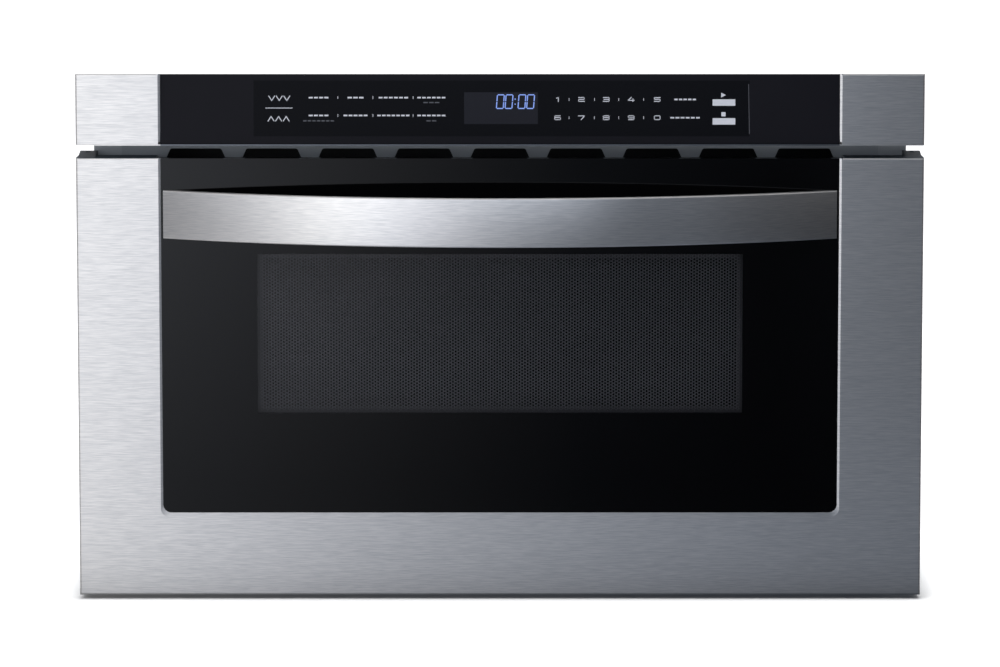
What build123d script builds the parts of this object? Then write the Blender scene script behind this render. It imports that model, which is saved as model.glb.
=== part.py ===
from build123d import *
import math
import os

# A built-in microwave oven whose cooking bin slides out as a drawer. Millimetres, +Z up,
# +X to the viewer's right, +Y to the back, origin under the middle of the whole object.

# ---- Driving dimensions: outside ------------------------------------------------------
overall_width = 606.0
face_to_rear = 594.0
handle_bow = 66.0
gland_reach = 9.0
shelf_gap = 3.0
drawer_front_height = 316.1
vent_slot_height = 8.9
control_panel_height = 51.5
face_thickness = 26.0
front_gap = 1.0
chassis_width = 556.0
chassis_height = 340.0
flange_width = 584.0
sheet = 1.2
flange_sheet = 1.5
fit = 0.3

# ---- Driving dimensions: casing -------------------------------------------------------
base_fold = 15.0
side_flange = 14.0
side_flange_low = 20.0
frame_top_drop = 8.0
mouth_corner = 8.0
slot_height = 5.0
wall_slot_pitch = 14.0
deck_slot_pitch = 12.0
base_slot_count = 8
base_slot_length = 90.0
base_slot_setback = 50.0
side_slot_count = 6
side_slot_length = 60.0
side_slot_low = 210.0
side_slot_setback = 60.0
rear_slot_count = 7
rear_slot_length = 110.0
rear_slot_low = 215.0
top_slot_count = 6
top_slot_length = 120.0
top_slot_x = -150.0
top_slot_y = 230.0
intake_pitch = 13.0
intake_width = 7.0
intake_margin = 3.0
screw_inset = 7.0
rear_screw_z = (40.0, 170.0, 300.0)

# ---- Driving dimensions: face ---------------------------------------------------------
post_width = 58.9
lower_rail_height = 56.9
trim_sheet = 1.2
trim_edge_radius = 1.5
bevel_side = 1.5
bevel_low = 2.9
bevel_depth = 2.0
glass_recess = 2.5
glass_thickness = 4.0
glass_lap = 3.4
glass_corner = 6.0
control_glass_thickness = 3.0
control_glass_gap = 0.1
control_recess_low = 1.2
control_recess_top = 4.5
control_lip = 0.8
panel_top_drop = 4.0
housing_wall = 2.0
housing_post = 6.0
housing_post_x = (-180.0, -60.0, 60.0, 180.0)
board_half_width = 195.0
board_sheet = 1.6
board_setback = 10.0
board_margin = 4.0
board_top_margin = 7.0
display_span = (-25.8, 27.0)
display_drop = (35.8, 13.2)
display_height = 4.9
screen_width = 348.0
screen_height = 115.0
screen_low = 135.0
screen_sheet = 0.5

# ---- Driving dimensions: handle -------------------------------------------------------
handle_span = 481.8
handle_height = 34.6
handle_low = 261.2
handle_thickness = 5.0
handle_end_thickness = 1.5
handle_edge_radius = 1.2
handle_post_x = 214.0
handle_post_size = 16.0
handle_stud_radius = 4.0
handle_stud_clearance = 1.0

# ---- Driving dimensions: vent ---------------------------------------------------------
vent_count = 9
vent_pitch = 54.7
vent_rib_low = 11.7
vent_rib_top = 18.2
vent_low = 316.5
vent_top = 323.8
grille_width = 544.0
grille_low = 314.5
grille_top = 327.5
duct_length = 120.0
duct_side_gap = 12.0
duct_roof_gap = 6.0
duct_port_length = 40.0
duct_port_setback = 10.0

# ---- Driving dimensions: cavity and bin -----------------------------------------------
cavity_width = 452.0
cavity_height = 204.0
cavity_floor = 78.0
cavity_depth = 426.0
bin_width = 437.0
bin_depth = 411.0
bin_headroom = 12.0
bin_wall = 3.0
bin_edge_radius = 4.0
bin_floor_clearance = 9.0
bin_corner = 12.0
bin_window_margin = 4.0
plate_thickness = 4.0
plate_clearance = 3.0

# ---- Driving dimensions: slides, rack and pinion --------------------------------------
drawer_travel = 380.0
rail_z = 45.5
rail_length = 420.0
rail_sheet = 1.4
rail_outer_height = 35.0
rail_outer_width = 12.0
rail_middle_height = 25.8
rail_inner_height = 18.2
rail_ball_clearance = 0.08
rail_balls = 2
rail_middle_near = 3.0
rail_middle_far = 12.4
rail_inner_near = 6.0
rail_inner_far = 12.8
ball_lane_outer = 6.5
ball_lane_inner = 8.8
passage_gap = 4.0
rail_passage_gap = 1.0
rail_passage_rise = 2.0
gear_module = 2.0
pinion_teeth = 18
pinion_width = 10.0
gear_backlash = 0.2
pressure_angle = 20.0
rack_x = 66.0
rack_width = 12.0
pinion_ground_gap = 6.8
rack_back_height = 10.0
pinion_offset = 30.0
shaft_radius = 4.0
shaft_clearance = 0.04

# ---- Driving dimensions: carrier and choke --------------------------------------------
carrier_setback = 2.0
carrier_wall = 2.5
choke_width = 472.0
choke_height = 220.0
choke_low = 69.0
choke_depth = 14.3
choke_clearance = 2.0
choke_cover_sheet = 1.2
choke_lip_gap = 1.5
window_thickness = 3.0
window_lap = 10.0

# ---- Driving dimensions: inner works --------------------------------------------------
port_radius = 30.0
launcher_radius = 12.0
waveguide_width = 90.0
waveguide_height = 34.8
stirrer_radius = 80.0
stirrer_cover_size = 200.0
stirrer_cover_drop = 10.5
stirrer_cover_wall = 1.5
stirrer_cover_corner = 16.0
stirrer_motor_radius = 24.0
antenna_drop = 6.5
antenna_hub_radius = 22.0
antenna_arm_width = 26.0
antenna_boss_radius = 7.0
antenna_shaft_radius = 3.0
antenna_shaft_reach = 8.0
lamp_x = 110.0
lamp_z = 240.0
lamp_hole_radius = 2.2
lamp_hole_pitch = 8.0
lamp_cup_radius = 20.0
magnetron_radius = 19.0
magnetron_fin_size = 62.0
magnetron_fin_count = 6
magnetron_fin_sheet = 0.8
magnetron_box_height = 32.0
yoke_width = 84.0
yoke_depth = 66.0
yoke_height = 82.0
fan_x = 180.0
fan_z = 150.0
fan_radius = 53.0
fan_hub_radius = 16.0
fan_tip_clearance = 3.0
fan_blades = 5
fan_shroud_size = 120.0
fan_shroud_depth = 24.0
fan_motor_radius = 22.0
latch_z = 240.0
latch_x = 247.0
latch_passage = 18.0
lever_pivot_z = 222.0
lever_pivot_offset = 48.0
pin_radius = 3.0
gland_x = -235.0
gland_z = 60.0
gland_bore = 4.5
gland_wall = 4.5
gland_flange = 4.0
gland_flange_sheet = 3.0
gland_nut = 5.0
gland_taper = 2.0
screw_head_radius = 4.0
screw_head_height = 1.6
screw_shank_radius = 1.6
screw_length = 5.0
flange_hole_radius = 2.5
flange_hole_x = 285.0
flange_hole_low = 60.0
flange_hole_high = 270.0

# ---- Planes worked out from them ------------------------------------------------------
overall_depth = handle_bow + face_to_rear + gland_reach
half_width = overall_width / 2
face_y = handle_bow - overall_depth / 2
drawer_back_y = face_y + face_thickness
frame_y = drawer_back_y + front_gap
frame_back_y = frame_y + flange_sheet
rear_y = face_y + face_to_rear
rear_inner_y = rear_y - sheet
side_outer = chassis_width / 2
side_inner = side_outer - sheet
deck_z = chassis_height - sheet
drawer_top_z = shelf_gap + drawer_front_height
panel_low_z = drawer_top_z + vent_slot_height
panel_top_z = panel_low_z + control_panel_height
open_half = half_width - post_width
glass_half = open_half - bevel_side
glass_low_z = shelf_gap + lower_rail_height + bevel_low
glass_front_y = face_y + glass_recess
glass_back_y = glass_front_y + glass_thickness
carrier_back_y = drawer_back_y - carrier_setback
cavity_half = cavity_width / 2
cavity_top_z = cavity_floor + cavity_height
cavity_back_y = frame_y + cavity_depth
cavity_roof_z = cavity_top_z + sheet
choke_back_y = drawer_back_y - choke_cover_sheet
choke_front_y = choke_back_y - choke_depth
window_front_y = choke_front_y + sheet
bin_front_y = window_front_y + window_thickness
bin_half = bin_width / 2 + bin_wall
bin_back_y = bin_front_y + bin_depth + 2 * bin_wall
bin_low_z = cavity_floor + bin_floor_clearance
bin_rim_z = cavity_top_z - bin_headroom
handle_front_y = -overall_depth / 2
pinion_radius = gear_module * pinion_teeth / 2
pinion_y = frame_back_y + pinion_offset
pinion_z = sheet + pinion_ground_gap + gear_module + pinion_radius
rack_pitch_z = pinion_z + pinion_radius
rack_tip_z = rack_pitch_z - gear_module
rack_root_z = rack_pitch_z + 1.25 * gear_module
rack_top_z = rack_root_z + rack_back_height
stirrer_y = (frame_y + cavity_back_y) / 2
magnetron_y = cavity_back_y + sheet + 8 + yoke_depth / 2
waveguide_back_y = magnetron_y + yoke_depth / 2
waveguide_top_z = cavity_roof_z + waveguide_height
lever_y = frame_back_y + lever_pivot_offset
sides = (("left", -1), ("right", 1))


# ---- Helpers --------------------------------------------------------------------------
def block(x, y, z):
    """Return a box over three (low, high) spans."""
    spans = [sorted(span) for span in (x, y, z)]
    middle = [(low + high) / 2 for low, high in spans]
    size = [high - low for low, high in spans]
    return Pos(*middle) * Box(*size)


def both(half):
    """Return the span from minus half to plus half."""
    return (-half, half)


def around(middle, width):
    """Return the span of a width about its middle."""
    return (middle - width / 2, middle + width / 2)


def shell_box(x, y, z, wall, open_to):
    """Return a block hollowed to a wall and open to the named sides, such as "-y"."""
    cuts = []
    for axis, (low, high) in zip("xyz", (x, y, z)):
        low_cut = low - wall if "-" + axis in open_to else low + wall
        high_cut = high + wall if "+" + axis in open_to else high - wall
        cuts.append((low_cut, high_cut))
    return block(x, y, z) - block(*cuts)


def outline(*points):
    """Return the face inside a closed line through the points."""
    return make_face(Polyline(*points, close=True))


def pad(face, axis, span):
    """Return a face pushed out along an axis over a (low, high) span.

    The face is drawn in Y and Z for the X axis, in X and Z for Y, and in X and Y for Z.
    """
    low, high = span
    if axis == "x":
        return extrude(Plane.YZ.offset(low) * face, high - low)
    if axis == "y":
        return extrude(Plane.XZ.offset(-high) * face, high - low)
    return extrude(Plane.XY.offset(low) * face, high - low)


def rod(axis, middle, radius, span):
    """Return a round rod along an axis, with its middle given in the other two axes."""
    return pad(Pos(*middle) * Circle(radius), axis, span)


def screw(head_at, out):
    """Return a hexagon-head sheet screw whose head stands on a point and looks along out."""
    seat = Plane(origin=head_at, z_dir=out)
    head = extrude(seat * RegularPolygon(screw_head_radius, 6), screw_head_height)
    return head + extrude(seat * RegularPolygon(screw_shank_radius, 6), -screw_length)


def screw_hole(axis, middle, span):
    """Return a six-sided clearance hole for a screw's shank along an axis."""
    return pad(Pos(*middle) * RegularPolygon(screw_shank_radius + fit, 6), axis, span)


def slot_row(x, y, length, pitch, count):
    """Return square-ended slots of one length, side by side from a first one's middle."""
    return [Pos(x, y + pitch * row) * Rectangle(length, slot_height) for row in range(count)]


def group(pieces):
    """Return separate solids as one group."""
    return Compound(children=[solid for piece in pieces for solid in piece.solids()])


def save(name, shape):
    """Write a node's solids to its own STEP file."""
    export_step(shape, f"parts/{name}.step")


# ---- Chassis casing -------------------------------------------------------------------
side_screw_y = [frame_back_y + share * (rear_inner_y - frame_back_y) for share in (0.08, 0.5, 0.92)]
top_screws = [(sign * (side_inner - screw_inset), y) for _, sign in sides for y in side_screw_y]
rear_screws = [(sign * (side_inner - screw_inset), z) for _, sign in sides for z in rear_screw_z]


def make_base_plate():
    """Folded tray between the side panels, with cooling slots at the rear."""
    span_y = (frame_back_y, rear_inner_y)
    tray = shell_box(both(side_inner), span_y, (0, base_fold), sheet, ("+z", "-y", "+y"))
    first_y = rear_inner_y - base_slot_setback
    for slot in slot_row(fan_x, first_y, base_slot_length, -deck_slot_pitch, base_slot_count):
        tray -= pad(slot, "z", (-1, 2 * sheet))
    return tray


def make_side_panel(sign):
    """Side panel with flanges turned in at the top and the rear, and a row of louvres."""
    inner = sign * (side_inner - side_flange)
    panel = block((sign * side_inner, sign * side_outer), (frame_back_y, rear_inner_y), (0, deck_z))
    panel += block((inner, sign * side_inner), (frame_back_y, rear_inner_y), (deck_z - sheet, deck_z))
    flange_y = (rear_inner_y - sheet, rear_inner_y)
    panel += block((inner, sign * side_inner), flange_y, (side_flange_low, deck_z))
    through = sorted((sign * (side_inner - 2), sign * (side_outer + 2)))
    slot_y = rear_inner_y - side_slot_setback
    for slot in slot_row(slot_y, side_slot_low, side_slot_length, wall_slot_pitch, side_slot_count):
        panel -= pad(slot, "x", through)
    for x, y in top_screws:
        panel -= screw_hole("z", (x, y), (deck_z - 2 * sheet, deck_z + 1))
    for x, z in rear_screws:
        panel -= screw_hole("y", (x, z), (rear_inner_y - 2 * sheet, rear_inner_y + 1))
    return panel


def make_rear_panel():
    """Rear panel with the fan's intake slots, the cord hole and its screw holes."""
    panel = block(both(side_outer), (rear_inner_y, rear_y), (0, deck_z))
    through = (rear_inner_y - 1, rear_y + 1)
    columns = int((fan_radius - intake_margin) / intake_pitch)
    for column in range(-columns, columns + 1):
        reach = math.sqrt(fan_radius**2 - (column * intake_pitch) ** 2) - intake_margin
        slot = Pos(fan_x + column * intake_pitch, fan_z) * Rectangle(intake_width, 2 * reach)
        panel -= pad(slot, "y", through)
    panel -= rod("y", (gland_x, gland_z), gland_bore + gland_wall + fit, through)
    for x, z in rear_screws:
        panel -= screw_hole("y", (x, z), through)
    for slot in slot_row(0, rear_slot_low, rear_slot_length, wall_slot_pitch, rear_slot_count):
        panel -= pad(slot, "y", through)
    return panel


def make_top_cover():
    """Top sheet with its screw holes and a row of slots above the transformer."""
    cover = block(both(side_outer), (frame_back_y, rear_y), (deck_z, chassis_height))
    through = (deck_z - 1, chassis_height + 1)
    for x, y in top_screws:
        cover -= screw_hole("z", (x, y), through)
    for slot in slot_row(top_slot_x, top_slot_y, top_slot_length, deck_slot_pitch, top_slot_count):
        cover -= pad(slot, "z", through)
    return cover


def make_front_frame():
    """Face plate of the chassis: mounting flange, oven opening and all passages through it."""
    plate = block(both(flange_width / 2), (frame_y, frame_back_y), (shelf_gap + front_gap, grille_top))
    frame_top_z = max(panel_top_z - frame_top_drop, chassis_height)
    plate += block(both(side_outer), (frame_y, frame_back_y), (grille_low, frame_top_z))
    through = (frame_y - 5, frame_back_y + 5)
    mouth = RectangleRounded(cavity_width, cavity_height, mouth_corner)
    plate -= pad(Pos(0, cavity_floor + cavity_height / 2) * mouth, "y", through)
    plate -= block(both(grille_width / 2), through, (grille_low, grille_top))
    rack_passage_z = (rack_tip_z - passage_gap, rack_top_z + passage_gap / 2)
    plate -= block(around(rack_x, rack_width + 2 * passage_gap), through, rack_passage_z)
    rail_near = side_inner - rail_middle_near + rail_passage_gap
    rail_far = side_inner - rail_inner_far - rail_passage_gap
    for _, sign in sides:
        rail_passage_z = around(rail_z, rail_middle_height + 2 * rail_passage_rise)
        plate -= block((sign * rail_far, sign * rail_near), through, rail_passage_z)
        plate -= block(around(sign * latch_x, latch_passage), through, around(latch_z, latch_passage))
        for z in (flange_hole_low, flange_hole_high):
            plate -= rod("y", (sign * flange_hole_x, z), flange_hole_radius, through)
    return plate


def make_vent_grille():
    """Steel strip with nine tapered air openings between even ribs."""
    strip = block(both(grille_width / 2), (frame_y, frame_back_y), (grille_low, grille_top))
    low_half = (vent_pitch - vent_rib_low) / 2
    top_half = (vent_pitch - vent_rib_top) / 2
    corners = ((-low_half, vent_low), (low_half, vent_low), (top_half, vent_top), (-top_half, vent_top))
    window = outline(*corners)
    window = fillet(window.vertices().group_by(Axis.Y)[-1], 2.0)
    for number in range(vent_count):
        x = (number - (vent_count - 1) / 2) * vent_pitch
        strip -= pad(Pos(x, 0) * window, "y", (frame_y - 5, frame_y + 5))
    return strip


def make_exhaust_duct():
    """Tapered air duct from a port above the oven to the grille, closed at its rear end."""
    rear = frame_back_y + duct_length
    floor_z = cavity_roof_z + fit
    roof_z = deck_z - duct_roof_gap
    rise = (grille_low - sheet - floor_z) / duct_length
    outer = outline(
        (frame_back_y, grille_low - sheet),
        (frame_back_y, grille_top),
        (rear, roof_z),
        (rear, floor_z),
    )
    inner = outline(
        (frame_back_y - 1, grille_low),
        (frame_back_y - 1, grille_top - sheet),
        (rear - sheet, roof_z - sheet),
        (rear - sheet, floor_z + sheet * (1 + rise)),
    )
    width = grille_width / 2 - duct_side_gap
    duct = pad(outer, "x", both(width)) - pad(inner, "x", both(width - sheet))
    port_y = (rear - duct_port_setback - duct_port_length, rear - duct_port_setback)
    return duct - block(both(width - duct_side_gap), port_y, (roof_z - 4 * sheet, roof_z + 1))


def make_cord_gland():
    """Turned bush in the rear panel that the supply cord passes through."""
    neck = gland_bore + gland_wall
    rim = neck + gland_flange
    rim_y = rear_y + gland_flange_sheet
    middle = (gland_x, gland_z)
    bush = rod("y", middle, neck, (rear_inner_y, rear_y))
    bush += rod("y", middle, rim, (rear_y, rim_y))
    bush += rod("y", middle, rim, (rear_inner_y - gland_nut, rear_inner_y))
    nose = gland_reach - gland_flange_sheet
    seat = Plane(origin=(gland_x, rim_y, gland_z), z_dir=(0, 1, 0))
    bush += seat * (Pos(0, 0, nose / 2) * Cone(neck, neck - gland_taper, nose))
    return bush - rod("y", middle, gland_bore, (rear_inner_y - gland_nut - 1, rear_y + gland_reach + 1))


def make_chassis_screws():
    """Screws of the top cover and the rear panel."""
    pieces = [screw((x, y, chassis_height), (0, 0, 1)) for x, y in top_screws]
    pieces += [screw((x, rear_y, z), (0, 1, 0)) for x, z in rear_screws]
    return group(pieces)


# ---- Control panel --------------------------------------------------------------------
def control_line_y(z, depth):
    """Return Y of the leaning control glass at a height, at a depth behind its front."""
    share = (z - panel_low_z) / control_panel_height
    return face_y + control_recess_low + share * (control_recess_top - control_recess_low) + depth


def panel_top_at(y):
    """Return the height of the control panel's top, which falls towards the back, at a Y."""
    return panel_top_z - panel_top_drop * (y - face_y) / (frame_y - face_y)


control_low_z = panel_low_z + control_lip
control_high_z = panel_top_at(face_y + control_recess_top)
glass_back_low = control_line_y(control_low_z, control_glass_thickness)
glass_back_top = control_line_y(control_high_z, control_glass_thickness)


def make_control_panel_trim():
    """Two hollow steel posts joined by a thin lip under the control glass."""
    trim = block(both(half_width - 1), (face_y, frame_y), (panel_low_z, control_low_z))
    side = outline(
        (face_y, panel_low_z), (frame_y, panel_low_z), (frame_y, panel_top_at(frame_y)), (face_y, panel_top_z)
    )
    front_y, back_y = face_y + trim_sheet, frame_y + 1
    low_z = panel_low_z + trim_sheet
    top_z = [panel_top_at(y) - trim_sheet for y in (front_y, back_y)]
    hollow = outline((front_y, low_z), (back_y, low_z), (back_y, top_z[1]), (front_y, top_z[0]))
    for _, sign in sides:
        post = pad(side, "x", sorted((sign * glass_half, sign * half_width)))
        front = post.faces().sort_by(Axis.Y)[0]
        outer_edges = front.edges().sort_by(lambda edge: sign * edge.center().X)[1:]
        post = fillet(outer_edges, trim_edge_radius)
        bevel = outline(
            (sign * glass_half, face_y), (sign * open_half, face_y), (sign * glass_half, face_y + bevel_depth)
        )
        post -= pad(bevel, "z", (panel_low_z - 1, panel_top_z + 1))
        hollow_x = sorted((sign * (open_half + trim_sheet), sign * (half_width - trim_sheet)))
        trim += post - pad(hollow, "x", hollow_x)
    return trim


def make_control_glass():
    """Flat black glass that leans back towards its top."""
    profile = outline(
        (control_line_y(control_low_z, 0), control_low_z),
        (glass_back_low, control_low_z),
        (glass_back_top, panel_top_at(glass_back_top)),
        (control_line_y(control_high_z, 0), control_high_z),
    )
    glass = pad(profile, "x", both(glass_half - control_glass_gap))
    return chamfer(glass.faces().sort_by(Axis.Y)[0].edges(), 0.4)


def make_control_housing():
    """Moulded tub behind the control glass, with posts that carry the board."""
    wall = housing_wall
    width = glass_half - control_glass_gap
    mouth_low = glass_back_low - 2 * wall
    mouth_top = glass_back_top - 2 * wall
    outer = outline(
        (glass_back_low, control_low_z),
        (frame_y, control_low_z),
        (frame_y, panel_top_at(frame_y)),
        (glass_back_top, panel_top_at(glass_back_top)),
    )
    inner = outline(
        (mouth_low, control_low_z + wall),
        (frame_y - wall, control_low_z + wall),
        (frame_y - wall, panel_top_at(frame_y - wall) - wall),
        (mouth_top, panel_top_at(mouth_top) - wall),
    )
    tub = pad(outer, "x", both(width)) - pad(inner, "x", both(width - wall))
    post_y = (frame_y - board_setback, frame_y - wall)
    post_low = control_low_z + board_margin + housing_post
    post_high = control_high_z - board_top_margin - housing_post
    for x in housing_post_x:
        for z in (post_low, post_high):
            tub += block(around(x, housing_post), post_y, around(z, housing_post))
    return tub


def make_control_board():
    """Circuit board on its posts, with the display and two connectors soldered to it."""
    back = frame_y - board_setback
    front = back - board_sheet
    board_z = (control_low_z + board_margin, control_high_z - board_top_margin)
    board = block(both(board_half_width), (front, back), board_z)
    display_z = [panel_top_z - drop for drop in display_drop]
    board += block(display_span, (front - display_height, front), display_z)
    middle_z = panel_low_z + control_panel_height / 2
    board += block((-160, -120), (back, back + 6), around(middle_z, 10))
    return board + block((90, 118), (back, back + 7), around(middle_z, 18))


# ---- Oven -----------------------------------------------------------------------------
def make_oven_cavity():
    """Pressed oven box, open to the front, with the energy port in its roof."""
    outer_x = both(cavity_half + sheet)
    outer_y = (frame_back_y, cavity_back_y + sheet)
    outer_z = (cavity_floor - sheet, cavity_roof_z)
    box = shell_box(outer_x, outer_y, outer_z, sheet, ("-y",))
    box -= rod("z", (0, stirrer_y), port_radius, (cavity_top_z - 1, cavity_roof_z + 1))
    for column in (-1, 0, 1):
        for row in (-1, 0, 1):
            middle = Pos(lamp_x + column * lamp_hole_pitch, lamp_z + row * lamp_hole_pitch)
            hole = middle * RegularPolygon(lamp_hole_radius, 6)
            box -= pad(hole, "y", (cavity_back_y - 1, cavity_back_y + sheet + 1))
    return box


def make_waveguide():
    """Closed rectangular duct that carries the energy from the magnetron to the stirrer."""
    span_z = (cavity_roof_z, waveguide_top_z)
    guide_y = (stirrer_y - waveguide_width / 2, waveguide_back_y)
    guide = shell_box(both(waveguide_width / 2), guide_y, span_z, sheet, ())
    floor = (cavity_roof_z - 1, cavity_roof_z + sheet + 1)
    guide -= rod("z", (0, stirrer_y), port_radius, floor)
    guide -= rod("z", (0, magnetron_y), launcher_radius, floor)
    shaft_hole = antenna_shaft_radius + 1
    return guide - rod("z", (0, stirrer_y), shaft_hole, (waveguide_top_z - 5, waveguide_top_z + 1))


def make_stirrer_antenna():
    """Three-armed rotating antenna with its shaft."""
    low_z = cavity_top_z - antenna_drop
    disc_z = (low_z, low_z + sheet)
    wheel = rod("z", (0, stirrer_y), antenna_hub_radius, disc_z)
    root = antenna_hub_radius - 10
    for number in range(3):
        arm = SlotOverall(stirrer_radius - root, antenna_arm_width)
        arm = Rot(0, 0, 120 * number) * Pos((stirrer_radius + root) / 2, 0) * arm
        wheel += pad(Pos(0, stirrer_y) * arm, "z", disc_z)
    wheel += rod("z", (0, stirrer_y), antenna_boss_radius, (low_z - 1.5, cavity_top_z - 2))
    shaft_z = (low_z - 1.5, waveguide_top_z + antenna_shaft_reach)
    return wheel + rod("z", (0, stirrer_y), antenna_shaft_radius, shaft_z)


def make_stirrer_motor():
    """Flat synchronous motor on top of the waveguide, bored for the antenna's shaft."""
    top = deck_z - fit
    can = rod("z", (0, stirrer_y), stirrer_motor_radius, (waveguide_top_z, top))
    ears = Pos(0, stirrer_y) * SlotOverall(2 * stirrer_motor_radius + 18, 12)
    can += pad(ears, "z", (waveguide_top_z, waveguide_top_z + 1.5))
    bore = antenna_shaft_radius + shaft_clearance
    bore_z = (waveguide_top_z - 1, waveguide_top_z + antenna_shaft_reach + 1)
    return can - rod("z", (0, stirrer_y), bore, bore_z)


def make_stirrer_cover():
    """Shallow moulded cover under the oven roof that keeps food off the antenna."""
    size = stirrer_cover_size
    wall = stirrer_cover_wall
    low = cavity_top_z - stirrer_cover_drop
    outer = Pos(0, stirrer_y) * RectangleRounded(size, size, stirrer_cover_corner)
    inner = RectangleRounded(size - 2 * wall, size - 2 * wall, stirrer_cover_corner - wall)
    hollow = pad(Pos(0, stirrer_y) * inner, "z", (low + wall, cavity_top_z + 1))
    return pad(outer, "z", (low, cavity_top_z)) - hollow


yoke_low_z = cavity_roof_z - yoke_height


def make_magnetron_tube():
    """Anode cylinder with its antenna dome and the filter box below."""
    middle = (0, magnetron_y)
    tube = rod("z", middle, magnetron_radius, (yoke_low_z + 3, cavity_roof_z - 3))
    tube += rod("z", middle, 8, (cavity_roof_z - 3, cavity_roof_z + 14))
    tube += rod("z", middle, 6.5, (cavity_roof_z + 14, cavity_roof_z + 20))
    box_z = (yoke_low_z - magnetron_box_height, yoke_low_z)
    tube += block(both(32), around(magnetron_y, 54), box_z)
    return tube + rod("z", middle, launcher_radius, (yoke_low_z, yoke_low_z + 3))


def make_magnetron_fins():
    """Stack of thin cooling fins round the anode."""
    pieces = []
    pitch = (yoke_height - 16) / magnetron_fin_count
    for number in range(magnetron_fin_count):
        z = yoke_low_z + 8 + pitch * (number + 0.5)
        fin = Pos(0, magnetron_y) * Rectangle(magnetron_fin_size + 14, magnetron_fin_size - 6)
        bore = Pos(0, magnetron_y) * RegularPolygon(magnetron_radius, 16, major_radius=False)
        pieces.append(pad(fin - bore, "z", (z, z + magnetron_fin_sheet)))
    return group(pieces)


def make_magnetron_yoke():
    """Folded steel yoke round the fins, bored for the antenna and the filter box."""
    span_z = (yoke_low_z, cavity_roof_z)
    yoke = shell_box(both(yoke_width / 2), around(magnetron_y, yoke_depth), span_z, 1.5, ("-y", "+y"))
    return yoke - rod("z", (0, magnetron_y), launcher_radius + fit, (yoke_low_z - 1, cavity_roof_z + 1))


# ---- High-voltage parts ---------------------------------------------------------------
core_x = -155.0
core_y = (cavity_back_y + rear_inner_y) / 2
core_width = 90.0
core_height = 75.0
core_stack = 52.0
limb_width = 30.0
window_width = 20.0
window_height = 52.0
core_low_z = sheet + 3.0
core_middle_z = core_low_z + core_height / 2
capacitor_x = -62.0
capacitor_width = 32.0
capacitor_length = 54.0
capacitor_height = 84.0
diode_x = -10.0
filter_x = (-252.0, -178.0)
filter_z = (228.0, 312.0)
filter_post = 6.0
filter_post_height = 8.0
cutout_radius = 8.0
cutout_flange = (30.0, 9.0)
roof_cutout = (130.0, 60.0)
rear_cutout = (-100.0, 200.0)


def make_transformer_core():
    """Laminated core with two windows, welded to its foot plate."""
    core_z = (core_low_z, core_low_z + core_height)
    core = block(around(core_x, core_width), around(core_y, core_stack), core_z)
    for sign in (-1, 1):
        window_x = around(core_x + sign * (limb_width + window_width) / 2, window_width)
        core -= block(window_x, around(core_y, core_stack + 2), around(core_middle_z, window_height))
    foot = Pos(core_x, core_y) * RectangleRounded(core_width + 24, core_stack + 8, 5)
    return core + pad(foot, "z", (sheet, core_low_z))


def make_transformer_coils():
    """Primary and secondary windings round the middle limb."""
    pieces = []
    outer_x = limb_width + 2 * (window_width - 1.5)
    outer_y = core_stack + 2 * (window_width - 1.5)
    coil_height = window_height / 2 - 3
    for sign in (-1, 1):
        z = core_middle_z + sign * (coil_height / 2 + 1.5)
        wound = Pos(core_x, core_y) * RectangleRounded(outer_x, outer_y, 9)
        wound -= Pos(core_x, core_y) * RectangleRounded(limb_width + 0.6, core_stack + 0.6, 1)
        pieces.append(pad(wound, "z", around(z, coil_height)))
    return group(pieces)


def make_hv_capacitor():
    """Oval capacitor can standing in its strap, with two spade terminals."""
    middle = Pos(capacitor_x, core_y)
    top = sheet + capacitor_height
    can = pad(middle * SlotOverall(capacitor_length, capacitor_width), "z", (sheet, top))
    strap = middle * SlotOverall(capacitor_length + 3, capacitor_width + 3)
    can += pad(strap, "z", around(sheet + capacitor_height / 2, 16))
    for sign in (-1, 1):
        can += block(around(capacitor_x + sign * 11, 6.3), around(core_y, 0.9), (top, top + 11))
    return can


def make_hv_diode():
    """Axial diode on a lead with a ring lug that is screwed to the base plate."""
    middle = (diode_x, core_y + 18)
    lug = pad(Pos(*middle) * SlotOverall(16, 10), "z", (sheet, sheet + 1))
    lead = rod("z", middle, 0.8, (sheet + 1, sheet + 14))
    return lug + lead + rod("z", middle, 4, (sheet + 14, sheet + 34))


def make_noise_filter():
    """Filter board on posts on the rear panel, with a ring choke and a capacitor."""
    back = rear_inner_y - filter_post_height
    front = back - board_sheet
    board = block(filter_x, (front, back), filter_z)
    for x in (filter_x[0] + filter_post, filter_x[1] - filter_post):
        for z in (filter_z[0] + filter_post, filter_z[1] - filter_post):
            board += block(around(x, filter_post), (back, rear_inner_y), around(z, filter_post))
    middle_x = sum(filter_x) / 2
    choke = Pos(middle_x, filter_z[1] - 26) * (Circle(17) - Circle(8))
    board += pad(choke, "y", (front - 13.4, front))
    return board + block(around(middle_x, 52), (front - 14.4, front), (filter_z[0] + 8, filter_z[0] + 26))


def make_oven_lamp():
    """Lamp holder and bulb behind the lamp holes of the oven's rear wall."""
    middle = (lamp_x, lamp_z)
    wall = cavity_back_y + sheet
    cup = rod("y", middle, lamp_cup_radius, (wall, wall + 34))
    cup -= rod("y", middle, lamp_cup_radius - 1.5, (wall - 1, wall + 32))
    bulb = rod("y", middle, 9, (wall + 6, wall + 24))
    return cup + rod("y", middle, 7, (wall + 24, wall + 33)) + bulb


def thermal_cutout(face):
    """Return a button thermostat on the plane of its face, with two blade terminals."""
    body = extrude(face * SlotOverall(*cutout_flange), 1)
    body += extrude(face * Circle(cutout_radius), cutout_radius)
    for sign in (-1, 1):
        blade = face * Pos(sign * 4, 0, cutout_radius) * Rectangle(5, 0.8)
        body += extrude(blade, cutout_radius + 1)
    return body


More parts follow.
